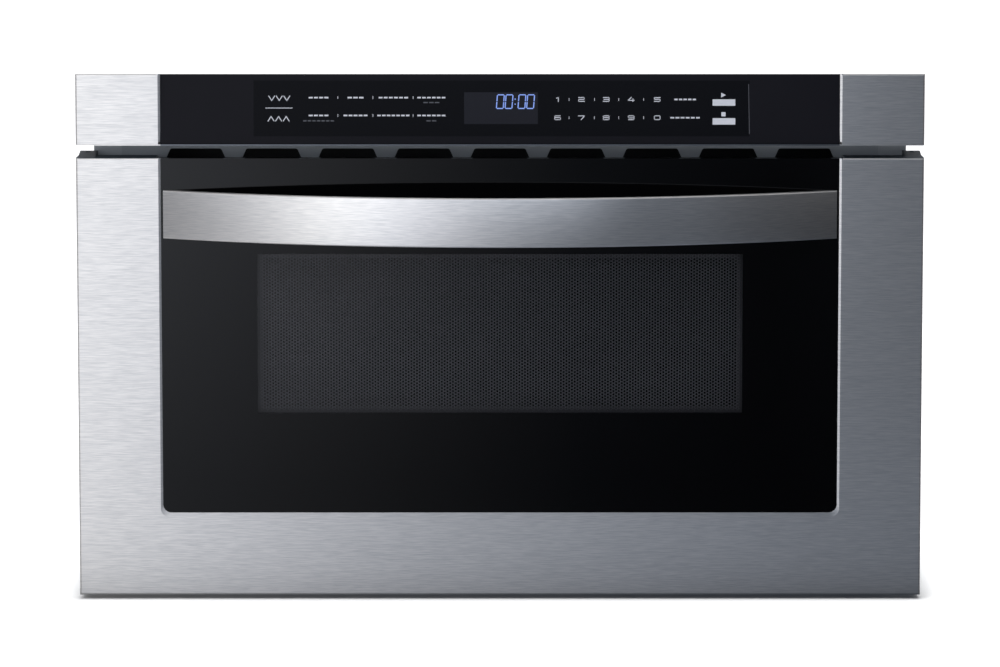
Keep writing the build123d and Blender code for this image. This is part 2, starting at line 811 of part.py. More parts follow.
def make_thermal_cutouts():
    """Two button thermostats: on the oven roof and on the oven's rear wall."""
    wall = cavity_back_y + sheet
    roof = Plane(origin=(*roof_cutout, cavity_roof_z), x_dir=(1, 0, 0), z_dir=(0, 0, 1))
    rear = Plane(origin=(rear_cutout[0], wall, rear_cutout[1]), x_dir=(1, 0, 0), z_dir=(0, 1, 0))
    return group([thermal_cutout(roof), thermal_cutout(rear)])


# ---- Cooling fan ----------------------------------------------------------------------
fan_mount_y = rear_inner_y - fan_shroud_depth
fan_ring_y = fan_mount_y - 3.0


def make_fan_shroud():
    """Square fan frame on the rear panel, with a three-armed motor mount."""
    span_y = (fan_mount_y, rear_inner_y)
    square = RectangleRounded(fan_shroud_size, fan_shroud_size, 8)
    shroud = pad(Pos(fan_x, fan_z) * square, "y", span_y)
    shroud -= rod("y", (fan_x, fan_z), fan_radius + fan_tip_clearance, (fan_ring_y - 1, rear_inner_y + 1))
    mount_y = (fan_ring_y, fan_mount_y)
    reach = fan_shroud_size / 2
    for number in range(4):
        arm = Rot(0, 0, 90 * number + 45) * Pos(reach / 2 + 12, 0) * Rectangle(reach, 9)
        shroud += pad(Pos(fan_x, fan_z) * arm, "y", mount_y)
    shroud += rod("y", (fan_x, fan_z), fan_motor_radius, mount_y)
    return shroud - rod("y", (fan_x, fan_z), pin_radius + 1, (fan_ring_y - 1, fan_mount_y + 1))


def make_fan_motor():
    """Shaded-pole motor with its shaft through the mount."""
    can = rod("y", (fan_x, fan_z), fan_motor_radius, (fan_ring_y - 28, fan_ring_y))
    can += block(around(fan_x, 54), (fan_ring_y - 20, fan_ring_y - 8), around(fan_z - 6, 44))
    return can + rod("y", (fan_x, fan_z), pin_radius, (fan_ring_y, rear_inner_y - 7))


def make_fan_blade():
    """Moulded axial fan: hub and twisted blades."""
    hub_y = (fan_mount_y + 1.5, rear_inner_y - 5)
    mid_y = (hub_y[0] + hub_y[1]) / 2
    fan = rod("y", (fan_x, fan_z), fan_hub_radius, hub_y)
    for number in range(fan_blades):
        angle = math.radians(360 * number / fan_blades)
        out = (math.cos(angle), 0, math.sin(angle))
        sections = []
        for radius, chord, twist in ((fan_hub_radius - 3, 15, 42), (fan_radius - 0.5, 27, 24)):
            at = (fan_x + radius * out[0], mid_y, fan_z + radius * out[2])
            section = Plane(origin=at, x_dir=(0, 1, 0), z_dir=out) * Rot(0, 0, 90 - twist)
            sections.append(section * Rectangle(chord, 1.8))
        fan += loft(sections)
    bore = pin_radius + shaft_clearance
    return fan - rod("y", (fan_x, fan_z), bore, (fan_mount_y, rear_inner_y - 6))


# ---- Drawer drive ---------------------------------------------------------------------
bracket_x = rack_x + rack_width / 2 + 2.0
bracket_sheet = 2.0


def involute_point(base_radius, radius, turn, side):
    """Return a point of an involute flank at a radius, turned to its place on the gear."""
    roll = math.sqrt((radius / base_radius) ** 2 - 1)
    angle = turn + side * (roll - math.atan(roll))
    return (radius * math.cos(angle), radius * math.sin(angle))


def gear_face():
    """Return the face of the involute pinion, with a tooth on its own X axis."""
    base = pinion_radius * math.cos(math.radians(pressure_angle))
    tip = pinion_radius + gear_module
    root = pinion_radius - 1.25 * gear_module
    flank = math.tan(math.radians(pressure_angle)) - math.radians(pressure_angle)
    half_tooth = (math.pi / 2 - gear_backlash / 2 / gear_module) / pinion_teeth + flank
    radii = [base + (tip - base) * step / 4 for step in range(5)]
    points = []
    for number in range(pinion_teeth):
        middle = 2 * math.pi * number / pinion_teeth
        start = middle - half_tooth
        end = middle + half_tooth
        points.append((root * math.cos(start), root * math.sin(start)))
        points += [involute_point(base, radius, start, 1) for radius in radii]
        points += [involute_point(base, radius, end, -1) for radius in reversed(radii)]
        points.append((root * math.cos(end), root * math.sin(end)))
    return outline(*points)


def make_drive_pinion():
    """Involute pinion with a hub, bored for the motor's shaft."""
    gear = pad(Rot(0, 0, 90) * gear_face(), "x", around(rack_x, pinion_width))
    gear = Pos(0, pinion_y, pinion_z) * gear
    gear += rod("x", (pinion_y, pinion_z), 9, (rack_x - pinion_width / 2 - 3, rack_x))
    bore = shaft_radius + shaft_clearance
    return gear - rod("x", (pinion_y, pinion_z), bore, around(rack_x, 2 * pinion_width))


def make_drive_rack():
    """Straight rack, teeth down, with the tab that bolts it to the drawer front."""
    pitch = math.pi * gear_module
    rear = pinion_y + drawer_travel + 2.5 * pinion_radius
    slope = math.tan(math.radians(pressure_angle))
    half_pitch_tooth = pitch / 4 - gear_backlash / 4
    half_tip = half_pitch_tooth - slope * gear_module
    half_root = half_pitch_tooth + slope * 1.25 * gear_module
    first = pinion_y + pitch / 2 - pitch * math.floor((pinion_y - frame_y) / pitch)
    teeth = int((rear - first) / pitch)
    points = [(carrier_back_y, rack_top_z), (carrier_back_y, rack_root_z)]
    for number in range(teeth):
        y = first + pitch * number
        points += [(y - half_root, rack_root_z), (y - half_tip, rack_tip_z)]
        points += [(y + half_tip, rack_tip_z), (y + half_root, rack_root_z)]
    last = first + pitch * teeth
    points += [(last, rack_root_z), (last, rack_top_z)]
    rack = pad(outline(*points), "x", around(rack_x, rack_width))
    tab_y = (carrier_back_y, carrier_back_y + carrier_setback)
    return rack + block(around(rack_x, rack_width + 16), tab_y, (rack_root_z - 3, rack_top_z + 4))


def make_drive_bracket():
    """Folded bracket that carries the gearmotor and backs up the rack."""
    plate_x = (bracket_x, bracket_x + bracket_sheet)
    span_y = around(pinion_y, 46)
    bracket = block(plate_x, span_y, (sheet, rack_top_z + fit + bracket_sheet))
    bracket += block((bracket_x, bracket_x + 30), span_y, (sheet, sheet + bracket_sheet))
    shelf_z = (rack_top_z + fit, rack_top_z + fit + bracket_sheet)
    bracket += block((rack_x - rack_width / 2 - 2, bracket_x), span_y, shelf_z)
    return bracket - rod("x", (pinion_y, pinion_z), 10, (bracket_x - 1, bracket_x + 5))


def make_drive_motor():
    """Gearmotor: gearbox, motor can and output shaft."""
    back = bracket_x + bracket_sheet
    box = block((back, back + 26), around(pinion_y, 42), around(pinion_z, 42))
    box = fillet(box.edges().filter_by(Axis.X), 6)
    box += rod("x", (pinion_y, pinion_z), 9.5, (back - bracket_sheet, back))
    box += rod("x", (pinion_y, pinion_z), 17, (back + 26, back + 78))
    return box + rod("x", (pinion_y, pinion_z), shaft_radius, (rack_x - pinion_width / 2 - 6, back))


# ---- Slides ---------------------------------------------------------------------------
def channel(near, far, half, web_at_near, lip):
    """Return a C-shaped section in (distance from the side panel, height) points.

    Its web is on the near or the far side, and lip is the height of the turned-in edges.
    """
    wall = rail_sheet
    start, end = (near, far) if web_at_near else (far, near)
    inward = wall if end > start else -wall
    lip_height = max(lip, wall)
    tip = half - lip_height
    upper = [(end, half), (end, tip), (end - inward, tip), (end - inward, half - wall)]
    lower = [(end - inward, wall - half), (end - inward, -tip), (end, -tip), (end, -half)]
    if not lip:
        upper = [(end, half), (end, half - wall)]
        lower = [(end, wall - half), (end, -half)]
    web = [(start + inward, half - wall), (start + inward, wall - half)]
    return [(start, half)] + upper + web + lower + [(start, -half)]


def on_side(points, sign):
    """Return a section's points as X and Z on the left or right side of the chassis."""
    return outline(*[(sign * (side_inner - out), rail_z + up) for out, up in points])


rail_y = (frame_back_y, frame_back_y + rail_length)


def make_rail_outer(sign):
    """Fixed member of the slide, on the side panel."""
    section = channel(0, rail_outer_width, rail_outer_height / 2, True, 3.0)
    return pad(on_side(section, sign), "y", rail_y)


def ball_row(sign, lane, height, radius, start):
    """Return a ball cage: a thin strip with faceted balls in it, its front end at start."""
    x = sign * (side_inner - lane)
    length = rail_length / 2 - 20
    row = block(around(x, 2.0), (start, start + length), around(rail_z + height, 0.6))
    belts = ((-radius, 0.4 * radius), (0, radius), (radius, 0.4 * radius))
    ball = loft([Plane.XY.offset(up) * RegularPolygon(reach, 8) for up, reach in belts], ruled=True)
    for number in range(rail_balls):
        y = start + 12 + number * (length - 24) / (rail_balls - 1)
        row += Pos(x, y, rail_z + height) * ball
    return row


def make_rail_middle(sign):
    """Middle member with its four ball cages."""
    half = rail_middle_height / 2
    section = channel(rail_middle_near, rail_middle_far, half, True, 0)
    pieces = [pad(on_side(section, sign), "y", (rail_y[0] + 1, rail_y[1] - 1))]
    outer_gap = (rail_outer_height / 2 - rail_sheet) - half
    inner_gap = (half - rail_sheet) - rail_inner_height / 2
    outer_start = rail_y[0] + drawer_travel / 2 + 8
    inner_start = rail_y[0] + 10
    for up in (-1, 1):
        outer_at = up * (half + outer_gap / 2)
        inner_at = up * (rail_inner_height / 2 + inner_gap / 2)
        outer_ball = outer_gap / 2 - rail_ball_clearance
        inner_ball = inner_gap / 2 - rail_ball_clearance
        pieces.append(ball_row(sign, ball_lane_outer, outer_at, outer_ball, outer_start))
        pieces.append(ball_row(sign, ball_lane_inner, inner_at, inner_ball, inner_start))
    return group(pieces)


def make_rail_inner(sign):
    """Drawer member with the tab that bolts it to the drawer front."""
    section = channel(rail_inner_near, rail_inner_far, rail_inner_height / 2, False, 0)
    rail = pad(on_side(section, sign), "y", (carrier_back_y, rail_y[1] - 2))
    tab_x = (sign * (side_inner - 36), sign * (side_inner - 7))
    tab_y = (carrier_back_y, carrier_back_y + carrier_setback)
    return rail + block(tab_x, tab_y, around(rail_z, 30))


# ---- Interlock ------------------------------------------------------------------------
interlock_plate_x = latch_x - 12.0
latch_tip_y = lever_y - 6.0 - 0.4


def make_interlock_brackets():
    """Folded plates behind the front frame that carry the levers' pins and the switches."""
    pieces = []
    for _, sign in sides:
        plate_x = sorted((sign * (interlock_plate_x - 1.5), sign * interlock_plate_x))
        foot_x = sorted((sign * (cavity_half + sheet), sign * interlock_plate_x))
        plate = block(plate_x, (frame_back_y, lever_y + 44), (lever_pivot_z - 12, latch_z + 16))
        plate += block(foot_x, (frame_back_y, frame_back_y + 1.5), (lever_pivot_z - 12, latch_z + 16))
        pin_x = sorted((sign * interlock_plate_x, sign * (interlock_plate_x + 14)))
        pieces.append(plate + rod("x", (lever_y, lever_pivot_z), pin_radius, pin_x))
    return group(pieces)


def make_interlock_lever(sign):
    """Lever on its pin, with a nose that the latch head pushes."""
    lever_x = sorted((sign * (interlock_plate_x + 2), sign * (interlock_plate_x + 10)))
    arm = outline(
        (lever_y - 5, lever_pivot_z),
        (lever_y - 6, latch_z + 8),
        (lever_y - 2, latch_z + 12),
        (lever_y + 3, latch_z + 8),
        (lever_y + 5, lever_pivot_z),
    )
    lever = pad(arm, "x", lever_x) + rod("x", (lever_y, lever_pivot_z), 7, lever_x)
    bore = pin_radius + shaft_clearance
    bore_x = sorted((sign * interlock_plate_x, sign * (interlock_plate_x + 14)))
    return lever - rod("x", (lever_y, lever_pivot_z), bore, bore_x)


def make_interlock_switches():
    """Snap switches behind the levers, each with its button."""
    pieces = []
    for _, sign in sides:
        case_x = sorted((sign * interlock_plate_x, sign * (interlock_plate_x + 10.5)))
        case = block(case_x, (lever_y + 12, lever_y + 40), around(latch_z + 2, 16))
        case = fillet(case.edges().filter_by(Axis.X), 1.5)
        button_x = sorted((sign * (interlock_plate_x + 3), sign * (interlock_plate_x + 8)))
        button = block(button_x, (lever_y + 5.5, lever_y + 12), around(latch_z + 2, 4))
        terminals = [
            block(button_x, (lever_y + 40, lever_y + 47), around(latch_z + 2 + 5 * step, 0.8))
            for step in (-1, 0, 1)
        ]
        for terminal in terminals:
            case += terminal
        pieces.append(case + button)
    return group(pieces)


def make_latch_heads():
    """Hooked latch heads on the back of the drawer front."""
    pieces = []
    for _, sign in sides:
        head_x = around(sign * latch_x, 10)
        profile = outline(
            (carrier_back_y, latch_z - 6),
            (carrier_back_y, latch_z + 6),
            (latch_tip_y - 4, latch_z + 6),
            (latch_tip_y, latch_z + 2),
            (latch_tip_y, latch_z - 6),
            (latch_tip_y - 8, latch_z - 6),
            (latch_tip_y - 10, latch_z - 2),
            (frame_back_y + 4, latch_z - 2),
            (frame_back_y + 2, latch_z - 6),
        )
        foot_y = (carrier_back_y, carrier_back_y + 1.5)
        foot = block(around(sign * latch_x, 14), foot_y, around(latch_z, 26))
        pieces.append(pad(profile, "x", sorted(head_x)) + foot)
    return group(pieces)


# ---- Drawer front ---------------------------------------------------------------------
def glass_opening(half, low, corner):
    """Return the outline of the glass opening, which runs out over the drawer's top."""
    height = drawer_top_z + 20 - low
    return Pos(0, low + height / 2) * RectangleRounded(2 * half, height, corner)


def make_front_trim():
    """Pressed steel face of the drawer: a U-shaped pan with a bevelled edge round the glass."""
    span_z = (shelf_gap, drawer_top_z)
    trim = block(both(half_width), (face_y, drawer_back_y), span_z)
    trim = fillet(trim.faces().sort_by(Axis.Y)[0].edges(), trim_edge_radius)
    hollow_z = (shelf_gap + trim_sheet, drawer_top_z - trim_sheet)
    trim -= block(both(half_width - trim_sheet), (face_y + trim_sheet, drawer_back_y + 1), hollow_z)
    seat = glass_opening(open_half + trim_sheet, glass_low_z - bevel_low - trim_sheet, glass_corner + 1)
    seat = pad(seat, "y", (face_y + trim_sheet / 2, glass_front_y))
    trim += seat & block(both(half_width - 5), (face_y, glass_front_y), span_z)
    outer = glass_opening(open_half, glass_low_z - bevel_low, glass_corner)
    inner = glass_opening(glass_half, glass_low_z, glass_corner)
    bevel = loft([Plane.XZ.offset(-face_y) * outer, Plane.XZ.offset(-face_y - bevel_depth) * inner])
    trim -= bevel
    trim -= pad(inner, "y", (face_y + bevel_depth, drawer_back_y + 1))
    rebate_x = both(glass_half + glass_lap + fit)
    rebate_z = (drawer_top_z - trim_sheet - 1, drawer_top_z + 1)
    return trim - block(rebate_x, (glass_front_y, drawer_back_y + 1), rebate_z)


def make_door_glass():
    """Flat glass behind the trim's bevel, drilled for the handle."""
    half = glass_half + glass_lap
    low = glass_low_z - glass_lap
    height = drawer_top_z - 0.5 - low
    pane = Pos(0, low + height / 2) * Rectangle(2 * half, height)
    pane = fillet(pane.vertices().group_by(Axis.Y)[0], glass_corner)
    glass = pad(pane, "y", (glass_front_y, glass_back_y))
    hole = handle_stud_radius + handle_stud_clearance
    for _, sign in sides:
        middle = (sign * handle_post_x, handle_low + handle_height / 2)
        glass -= rod("y", middle, hole, (glass_front_y - 1, glass_back_y + 1))
    return glass


drawer_screw_z = (85.0, 130.0, 175.0, 275.0)
drawer_screws = [(sign * (side_inner + 6), z) for _, sign in sides for z in drawer_screw_z]


def make_front_carrier():
    """Moulded carrier behind the glass that holds trim, choke, rails, rack and latches."""
    half = half_width - trim_sheet - fit
    span_x = both(half)
    span_y = (glass_back_y, carrier_back_y)
    span_z = (shelf_gap + trim_sheet + fit, drawer_top_z - trim_sheet - fit)
    frame = shell_box(span_x, span_y, span_z, carrier_wall, ("+y",))
    hole_half = choke_width / 2 + choke_clearance
    hole_z = (choke_low - choke_clearance, choke_low + choke_height + choke_clearance)
    wall_z = (hole_z[0] - carrier_wall, hole_z[1] + carrier_wall)
    frame += block(both(hole_half + carrier_wall), span_y, wall_z)
    bosses = [block(around(rack_x, rack_width + 24), span_y, (rack_pitch_z - 8, rack_top_z + 8))]
    for _, sign in sides:
        rail_boss_x = (sign * (side_inner - 38), sign * (side_inner - 5))
        bosses.append(block(rail_boss_x, span_y, around(rail_z, 34)))
        bosses.append(block(around(sign * latch_x, 18), span_y, around(latch_z, 30)))
        for z in drawer_screw_z:
            rib_x = (sign * (hole_half + 1), sign * (half - 1))
            bosses.append(block(rib_x, span_y, around(z, carrier_wall)))
        bosses.append(block(around(sign * 150, carrier_wall), span_y, (span_z[0] + 1, wall_z[0] + 1)))
        bosses.append(block(around(sign * 150, carrier_wall), span_y, (wall_z[1] - 1, span_z[1] - 1)))
    for x, z in drawer_screws:
        bosses.append(block(around(x, 8), span_y, around(z, 8)))
    for boss in bosses:
        frame += boss
    for x, z in drawer_screws:
        frame -= screw_hole("y", (x, z), (carrier_back_y - 2 * screw_length, carrier_back_y + 1))
    through = (glass_back_y - 1, carrier_back_y + 1)
    return frame - block(both(hole_half), through, hole_z)


choke_middle_z = choke_low + choke_height / 2
screen_middle_z = screen_low + screen_height / 2


def make_choke_panel():
    """Pressed pan that closes the oven: window opening and turned choke edge."""
    span_z = (choke_low, choke_low + choke_height)
    pan = shell_box(both(choke_width / 2), (choke_front_y, choke_back_y), span_z, sheet, ("+y",))
    flange = block(both(choke_width / 2 + choke_clearance), (choke_front_y, choke_front_y + sheet), span_z)
    pan += flange
    lip_half = bin_half + choke_lip_gap
    lip_z = (bin_low_z - choke_lip_gap, bin_rim_z + choke_lip_gap)
    wall_z = (lip_z[0] - sheet, lip_z[1] + sheet)
    pan += block(both(lip_half + sheet), (choke_front_y, choke_back_y), wall_z)
    pan -= block(both(lip_half), (choke_front_y + sheet, choke_back_y + 1), lip_z)
    window = Pos(0, screen_middle_z) * RectangleRounded(screen_width, screen_height, 3)
    return pan - pad(window, "y", (choke_front_y - 1, choke_front_y + 5))


def make_choke_cover():
    """Flat moulded ring over the choke's slot."""
    height = choke_height - 0.4
    ring = Pos(0, choke_middle_z) * RectangleRounded(choke_width - 0.4, height, 4)
    bin_middle = (bin_low_z + bin_rim_z) / 2
    hole = Pos(0, bin_middle) * Rectangle(2 * bin_half + 2, bin_rim_z - bin_low_z + 2)
    return pad(ring - hole, "y", (choke_back_y, drawer_back_y))


def make_door_screen():
    """Perforated steel screen on the front of the choke panel, drawn as a plain sheet."""
    sheet_face = Pos(0, screen_middle_z) * RectangleRounded(screen_width + 12, screen_height + 12, 4)
    return pad(sheet_face, "y", (choke_front_y - screen_sheet, choke_front_y))


def make_inner_window():
    """Clear pane between the choke panel and the bin's front wall."""
    pane = Pos(0, screen_middle_z) * RectangleRounded(
        screen_width + 2 * window_lap, screen_height + 2 * window_lap, 5
    )
    return pad(pane, "y", (window_front_y, bin_front_y))


def make_corner_caps():
    """Moulded caps that rise towards the back on the drawer front's upper corners."""
    pieces = []
    for _, sign in sides:
        side = outline(
            (face_y + 2, drawer_top_z),
            (drawer_back_y - 1, drawer_top_z),
            (drawer_back_y - 1, drawer_top_z + 3.4),
            (drawer_back_y - 6, drawer_top_z + 3.4),
        )
        cap = pad(side, "x", sorted((sign * (half_width - 14), sign * (half_width - 1.5))))
        hole_x = around(sign * (half_width - 7.5), 3)
        hole_z = (drawer_top_z + 0.8, drawer_top_z + 5)
        pieces.append(cap - block(hole_x, around(drawer_back_y - 8, 3), hole_z))
    return group(pieces)


# ---- Handle ---------------------------------------------------------------------------
handle_reach = glass_front_y - handle_end_thickness - handle_front_y
handle_radius = ((handle_span / 2) ** 2 + handle_reach**2) / (2 * handle_reach)
handle_inner = Pos(0, handle_front_y + handle_radius) * Circle(handle_radius - handle_thickness)


def make_handle_band():
    """Bowed steel band whose ends lie on the glass."""
    ring = Pos(0, handle_front_y + handle_radius) * Circle(handle_radius) - handle_inner
    ring &= Pos(0, glass_front_y - handle_bow) * Rectangle(handle_span, 2 * handle_bow)
    band = pad(ring, "z", (handle_low, handle_low + handle_height))
    arcs = band.edges().filter_by(GeomType.CIRCLE).sort_by(SortBy.RADIUS)
    return fillet(arcs[-2:], handle_edge_radius)


def make_handle_brackets():
    """Posts between band and glass, each with a stud through the glass to the carrier."""
    pieces = []
    middle_z = handle_low + handle_height / 2
    behind_band = pad(handle_inner, "z", (handle_low, handle_low + handle_height))
    for _, sign in sides:
        middle = (sign * handle_post_x, middle_z)
        post = Pos(*middle) * RectangleRounded(handle_post_size, handle_post_size, 3)
        piece = pad(post, "y", (handle_front_y, glass_front_y)) & behind_band
        piece += rod("y", middle, handle_stud_radius, (glass_front_y, glass_back_y))
        pieces.append(piece)
    return group(pieces)


# ---- Bin ------------------------------------------------------------------------------
def make_bin_shell():
    """Drawer bin: rounded tray, open at the top, with a window opening in its front wall."""
    depth = bin_back_y - bin_front_y
    middle_y = (bin_back_y + bin_front_y) / 2
    footprint = Pos(0, middle_y) * RectangleRounded(2 * bin_half, depth, bin_corner)
    outer = pad(footprint, "z", (bin_low_z, bin_rim_z))
    outer = chamfer(outer.edges().group_by(Axis.Z)[0], bin_edge_radius)
    inner_face_xy = Pos(0, middle_y) * RectangleRounded(
        bin_width, bin_depth, bin_corner - bin_wall
    )
    inner = pad(inner_face_xy, "z", (bin_low_z + bin_wall, bin_rim_z + 1))
    inner = fillet(inner.edges().group_by(Axis.Z)[0], bin_edge_radius)
    opening = Pos(0, screen_middle_z) * RectangleRounded(
        screen_width - 2 * bin_window_margin, screen_height - 2 * bin_window_margin, 6
    )
    return outer - inner - pad(opening, "y", (bin_front_y - 1, bin_front_y + bin_wall + 1))


def make_ceramic_plate():
    """Ceramic floor plate loose in the bin."""
    middle_y = (bin_back_y + bin_front_y) / 2
    plate = Pos(0, middle_y) * RectangleRounded(
        bin_width - 2 * plate_clearance - 2, bin_depth - 2 * plate_clearance - 2, bin_corner
    )
    floor = bin_low_z + bin_wall
    return pad(plate, "z", (floor, floor + plate_thickness))


def make_drawer_screws():
    """Screws that hold the carrier's rear edge to the rails' and latches' side."""
    return group([screw((x, carrier_back_y, z), (0, 1, 0)) for x, z in drawer_screws])


# ---- Writing the nodes ----------------------------------------------------------------
def main():
    """Build every node and write it."""
    os.makedirs("parts", exist_ok=True)
    plain = {
        "handle_band": make_handle_band,
        "handle_brackets": make_handle_brackets,
        "base_plate": make_base_plate,
        "rear_panel": make_rear_panel,
        "top_cover": make_top_cover,
        "front_frame": make_front_frame,
        "vent_grille": make_vent_grille,
        "exhaust_duct": make_exhaust_duct,
        "cord_gland": make_cord_gland,
        "chassis_screws": make_chassis_screws,
        "control_panel_trim": make_control_panel_trim,
        "control_glass": make_control_glass,
        "control_housing": make_control_housing,
        "control_board": make_control_board,
        "oven_cavity": make_oven_cavity,
        "waveguide": make_waveguide,
        "stirrer_antenna": make_stirrer_antenna,
        "stirrer_motor": make_stirrer_motor,
        "stirrer_cover": make_stirrer_cover,
        "magnetron_tube": make_magnetron_tube,
        "magnetron_fins": make_magnetron_fins,
        "magnetron_yoke": make_magnetron_yoke,
        "transformer_core": make_transformer_core,
        "transformer_coils": make_transformer_coils,
        "hv_capacitor": make_hv_capacitor,
        "hv_diode": make_hv_diode,
        "noise_filter": make_noise_filter,
        "oven_lamp": make_oven_lamp,
        "thermal_cutouts": make_thermal_cutouts,
        "fan_shroud": make_fan_shroud,
        "fan_motor": make_fan_motor,
        "fan_blade": make_fan_blade,
        "drive_motor": make_drive_motor,
        "drive_bracket": make_drive_bracket,
        "drive_pinion": make_drive_pinion,
        "drive_rack": make_drive_rack,
        "interlock_brackets": make_interlock_brackets,
        "interlock_switches": make_interlock_switches,
        "latch_heads": make_latch_heads,
        "front_trim": make_front_trim,
        "door_glass": make_door_glass,
        "front_carrier": make_front_carrier,
        "choke_panel": make_choke_panel,
        "choke_cover": make_choke_cover,
        "door_screen": make_door_screen,
        "inner_window": make_inner_window,
        "corner_caps": make_corner_caps,
        "bin_shell": make_bin_shell,
        "ceramic_plate": make_ceramic_plate,
        "drawer_screws": make_drawer_screws,
    }
    for name, make in plain.items():
        save(name, make())
    handed = {
        "side_panel": make_side_panel,
        "rail_outer": make_rail_outer,
        "rail_middle": make_rail_middle,
        "rail_inner": make_rail_inner,
        "interlock_lever": make_interlock_lever,
    }
    for side, sign in sides:
        for name, make in handed.items():
            save(f"{name}_{side}", make(sign))


main()
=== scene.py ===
import sys
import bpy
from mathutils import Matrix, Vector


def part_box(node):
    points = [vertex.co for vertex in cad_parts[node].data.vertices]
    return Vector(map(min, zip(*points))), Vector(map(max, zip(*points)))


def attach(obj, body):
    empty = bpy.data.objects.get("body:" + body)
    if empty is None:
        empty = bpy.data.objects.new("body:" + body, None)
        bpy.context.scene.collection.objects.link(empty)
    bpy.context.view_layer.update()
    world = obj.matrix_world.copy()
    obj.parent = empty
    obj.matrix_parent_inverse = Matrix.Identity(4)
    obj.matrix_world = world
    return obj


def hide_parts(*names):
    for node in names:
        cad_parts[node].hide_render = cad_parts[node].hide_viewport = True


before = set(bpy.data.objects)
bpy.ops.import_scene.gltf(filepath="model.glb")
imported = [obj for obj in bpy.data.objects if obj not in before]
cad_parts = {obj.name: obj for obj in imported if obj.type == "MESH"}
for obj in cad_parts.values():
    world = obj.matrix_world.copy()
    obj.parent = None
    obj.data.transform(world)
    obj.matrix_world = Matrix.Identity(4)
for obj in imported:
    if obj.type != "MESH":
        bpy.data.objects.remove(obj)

"""Looks of a built-in microwave drawer: each sub-assembly dresses its CAD nodes and adds its fine pieces.

Sizes in the classes are millimetres in the row frame: +X to the right of the face, +Y to the back, +Z up.
"""
import logging
import math
from dataclasses import dataclass
from enum import Enum
from typing import Callable, Iterable, Sequence

import bmesh
import bpy
from mathutils import Vector

log = logging.getLogger("microwave_drawer")
Point = tuple[float, float, float]
Flat = tuple[float, float]
Edges = tuple[float, float, float, float]  # left, right, lower and upper edge
Solid = tuple[list, list]  # corners, and the corner numbers of each face
Place = Callable[[float, float, float], Point]
Stops = Sequence[tuple[float, str]]
Tree, Node, Socket = bpy.types.NodeTree, bpy.types.Node, bpy.types.NodeSocket
Item = bpy.types.Object


# ---- Small tools ----------------------------------------------------------------------
def metres(*values: float) -> tuple[float, ...]:
    """Millimetres as metres.

    Args:
        *values: Lengths in millimetres.

    Returns:
        The same lengths in metres.
    """
    return tuple(v / 1000 for v in values)


def linear(colour: str) -> tuple[float, float, float, float]:
    """An sRGB hex colour as linear light.

    Args:
        colour: "#rrggbb".

    Returns:
        Red, green, blue and full opacity.
    """
    parts = (int(colour[i:i + 2], 16) / 255 for i in (1, 3, 5))
    red, green, blue = (c / 12.92 if c <= 0.04045 else ((c + 0.055) / 1.055) ** 2.4 for c in parts)
    return red, green, blue, 1.0


def add(tree: Tree, kind: str, inputs: dict | None = None, **settings) -> Node:
    """Adds one node with its settings and links.

    Args:
        tree: Where the node goes.
        kind: Blender's name for the node type.
        inputs: Input name or number to a value, or to the output socket linked to it.
        **settings: The node's own attributes.

    Returns:
        The node.
    """
    node = tree.nodes.new(kind)
    for name, value in settings.items():
        setattr(node, name, value)
    for key, value in (inputs or {}).items():
        if isinstance(value, Socket):
            tree.links.new(value, node.inputs[key])
        else:
            node.inputs[key].default_value = value
    return node


def ramp(tree: Tree, factor: Socket, stops: Stops) -> Socket:
    """A colour ramp.

    Args:
        tree: Where it goes.
        factor: What drives it.
        stops: Positions and hex colours, in order.

    Returns:
        Its colour output.
    """
    node = add(tree, "ShaderNodeValToRGB", {0: factor})
    elements = node.color_ramp.elements
    while len(elements) < len(stops):
        elements.new(1.0)
    for element, (position, colour) in zip(elements, stops):
        element.position = position
        element.color = linear(colour)
    return node.outputs[0]


def scalar_math(tree: Tree, operation: str, *values: object) -> Socket:
    """One sum with numbers.

    Args:
        tree: Where it goes.
        operation: Blender's name for it.
        *values: Numbers, or the sockets that give them.

    Returns:
        Its result.
    """
    return add(tree, "ShaderNodeMath", dict(enumerate(values)), operation=operation).outputs[0]


def vector_math(tree: Tree, operation: str, *values: object) -> Socket:
    """One sum with vectors.

    Args:
        tree: Where it goes.
        operation: Blender's name for it.
        *values: Vectors, or the sockets that give them.

    Returns:
        Its result: a number for a length, otherwise a vector.
    """
    made = add(tree, "ShaderNodeVectorMath", dict(enumerate(values)), operation=operation)
    return made.outputs["Value" if operation == "LENGTH" else "Vector"]


def mixed(tree: Tree, factor: Socket, one: object, two: object) -> Socket:
    """A colour between two.

    Args:
        tree: Where it goes.
        factor: 0 for the first, 1 for the second.
        one: The first colour, or the socket that gives it.
        two: The second.

    Returns:
        The colour.
    """
    return add(tree, "ShaderNodeMix", {0: factor, 6: one, 7: two}, data_type="RGBA").outputs[2]


def ranged(tree: Tree, value: Socket, source: Flat = (0.0, 1.0), target: Flat = (0.0, 1.0)) -> Socket:
    """A value carried from one range to another and held at its ends.

    Args:
        tree: Where it goes.
        value: What is carried.
        source: Both ends of its own range.
        target: What they become.

    Returns:
        The new value.
    """
    ends = {"From Min": source[0], "From Max": source[1], "To Min": target[0], "To Max": target[1]}
    return add(tree, "ShaderNodeMapRange", {"Value": value, **ends}).outputs[0]


def noise(tree: Tree, where: Socket, scale: float, detail: float = 2.0) -> Socket:
    """A soft noise.

    Args:
        tree: Where it goes.
        where: Coordinates in metres.
        scale: Marks per metre.
        detail: Its octaves.

    Returns:
        Its factor, 0 to 1.
    """
    return add(tree, "ShaderNodeTexNoise", {"Vector": where, "Scale": scale, "Detail": detail}).outputs["Fac"]


def cleared(owner: bpy.types.ID) -> Tree:
    """The empty node tree of a new material or world.

    Args:
        owner: The material or world.

    Returns:
        Its tree.
    """
    owner.use_nodes = True
    owner.node_tree.nodes.clear()
    return owner.node_tree


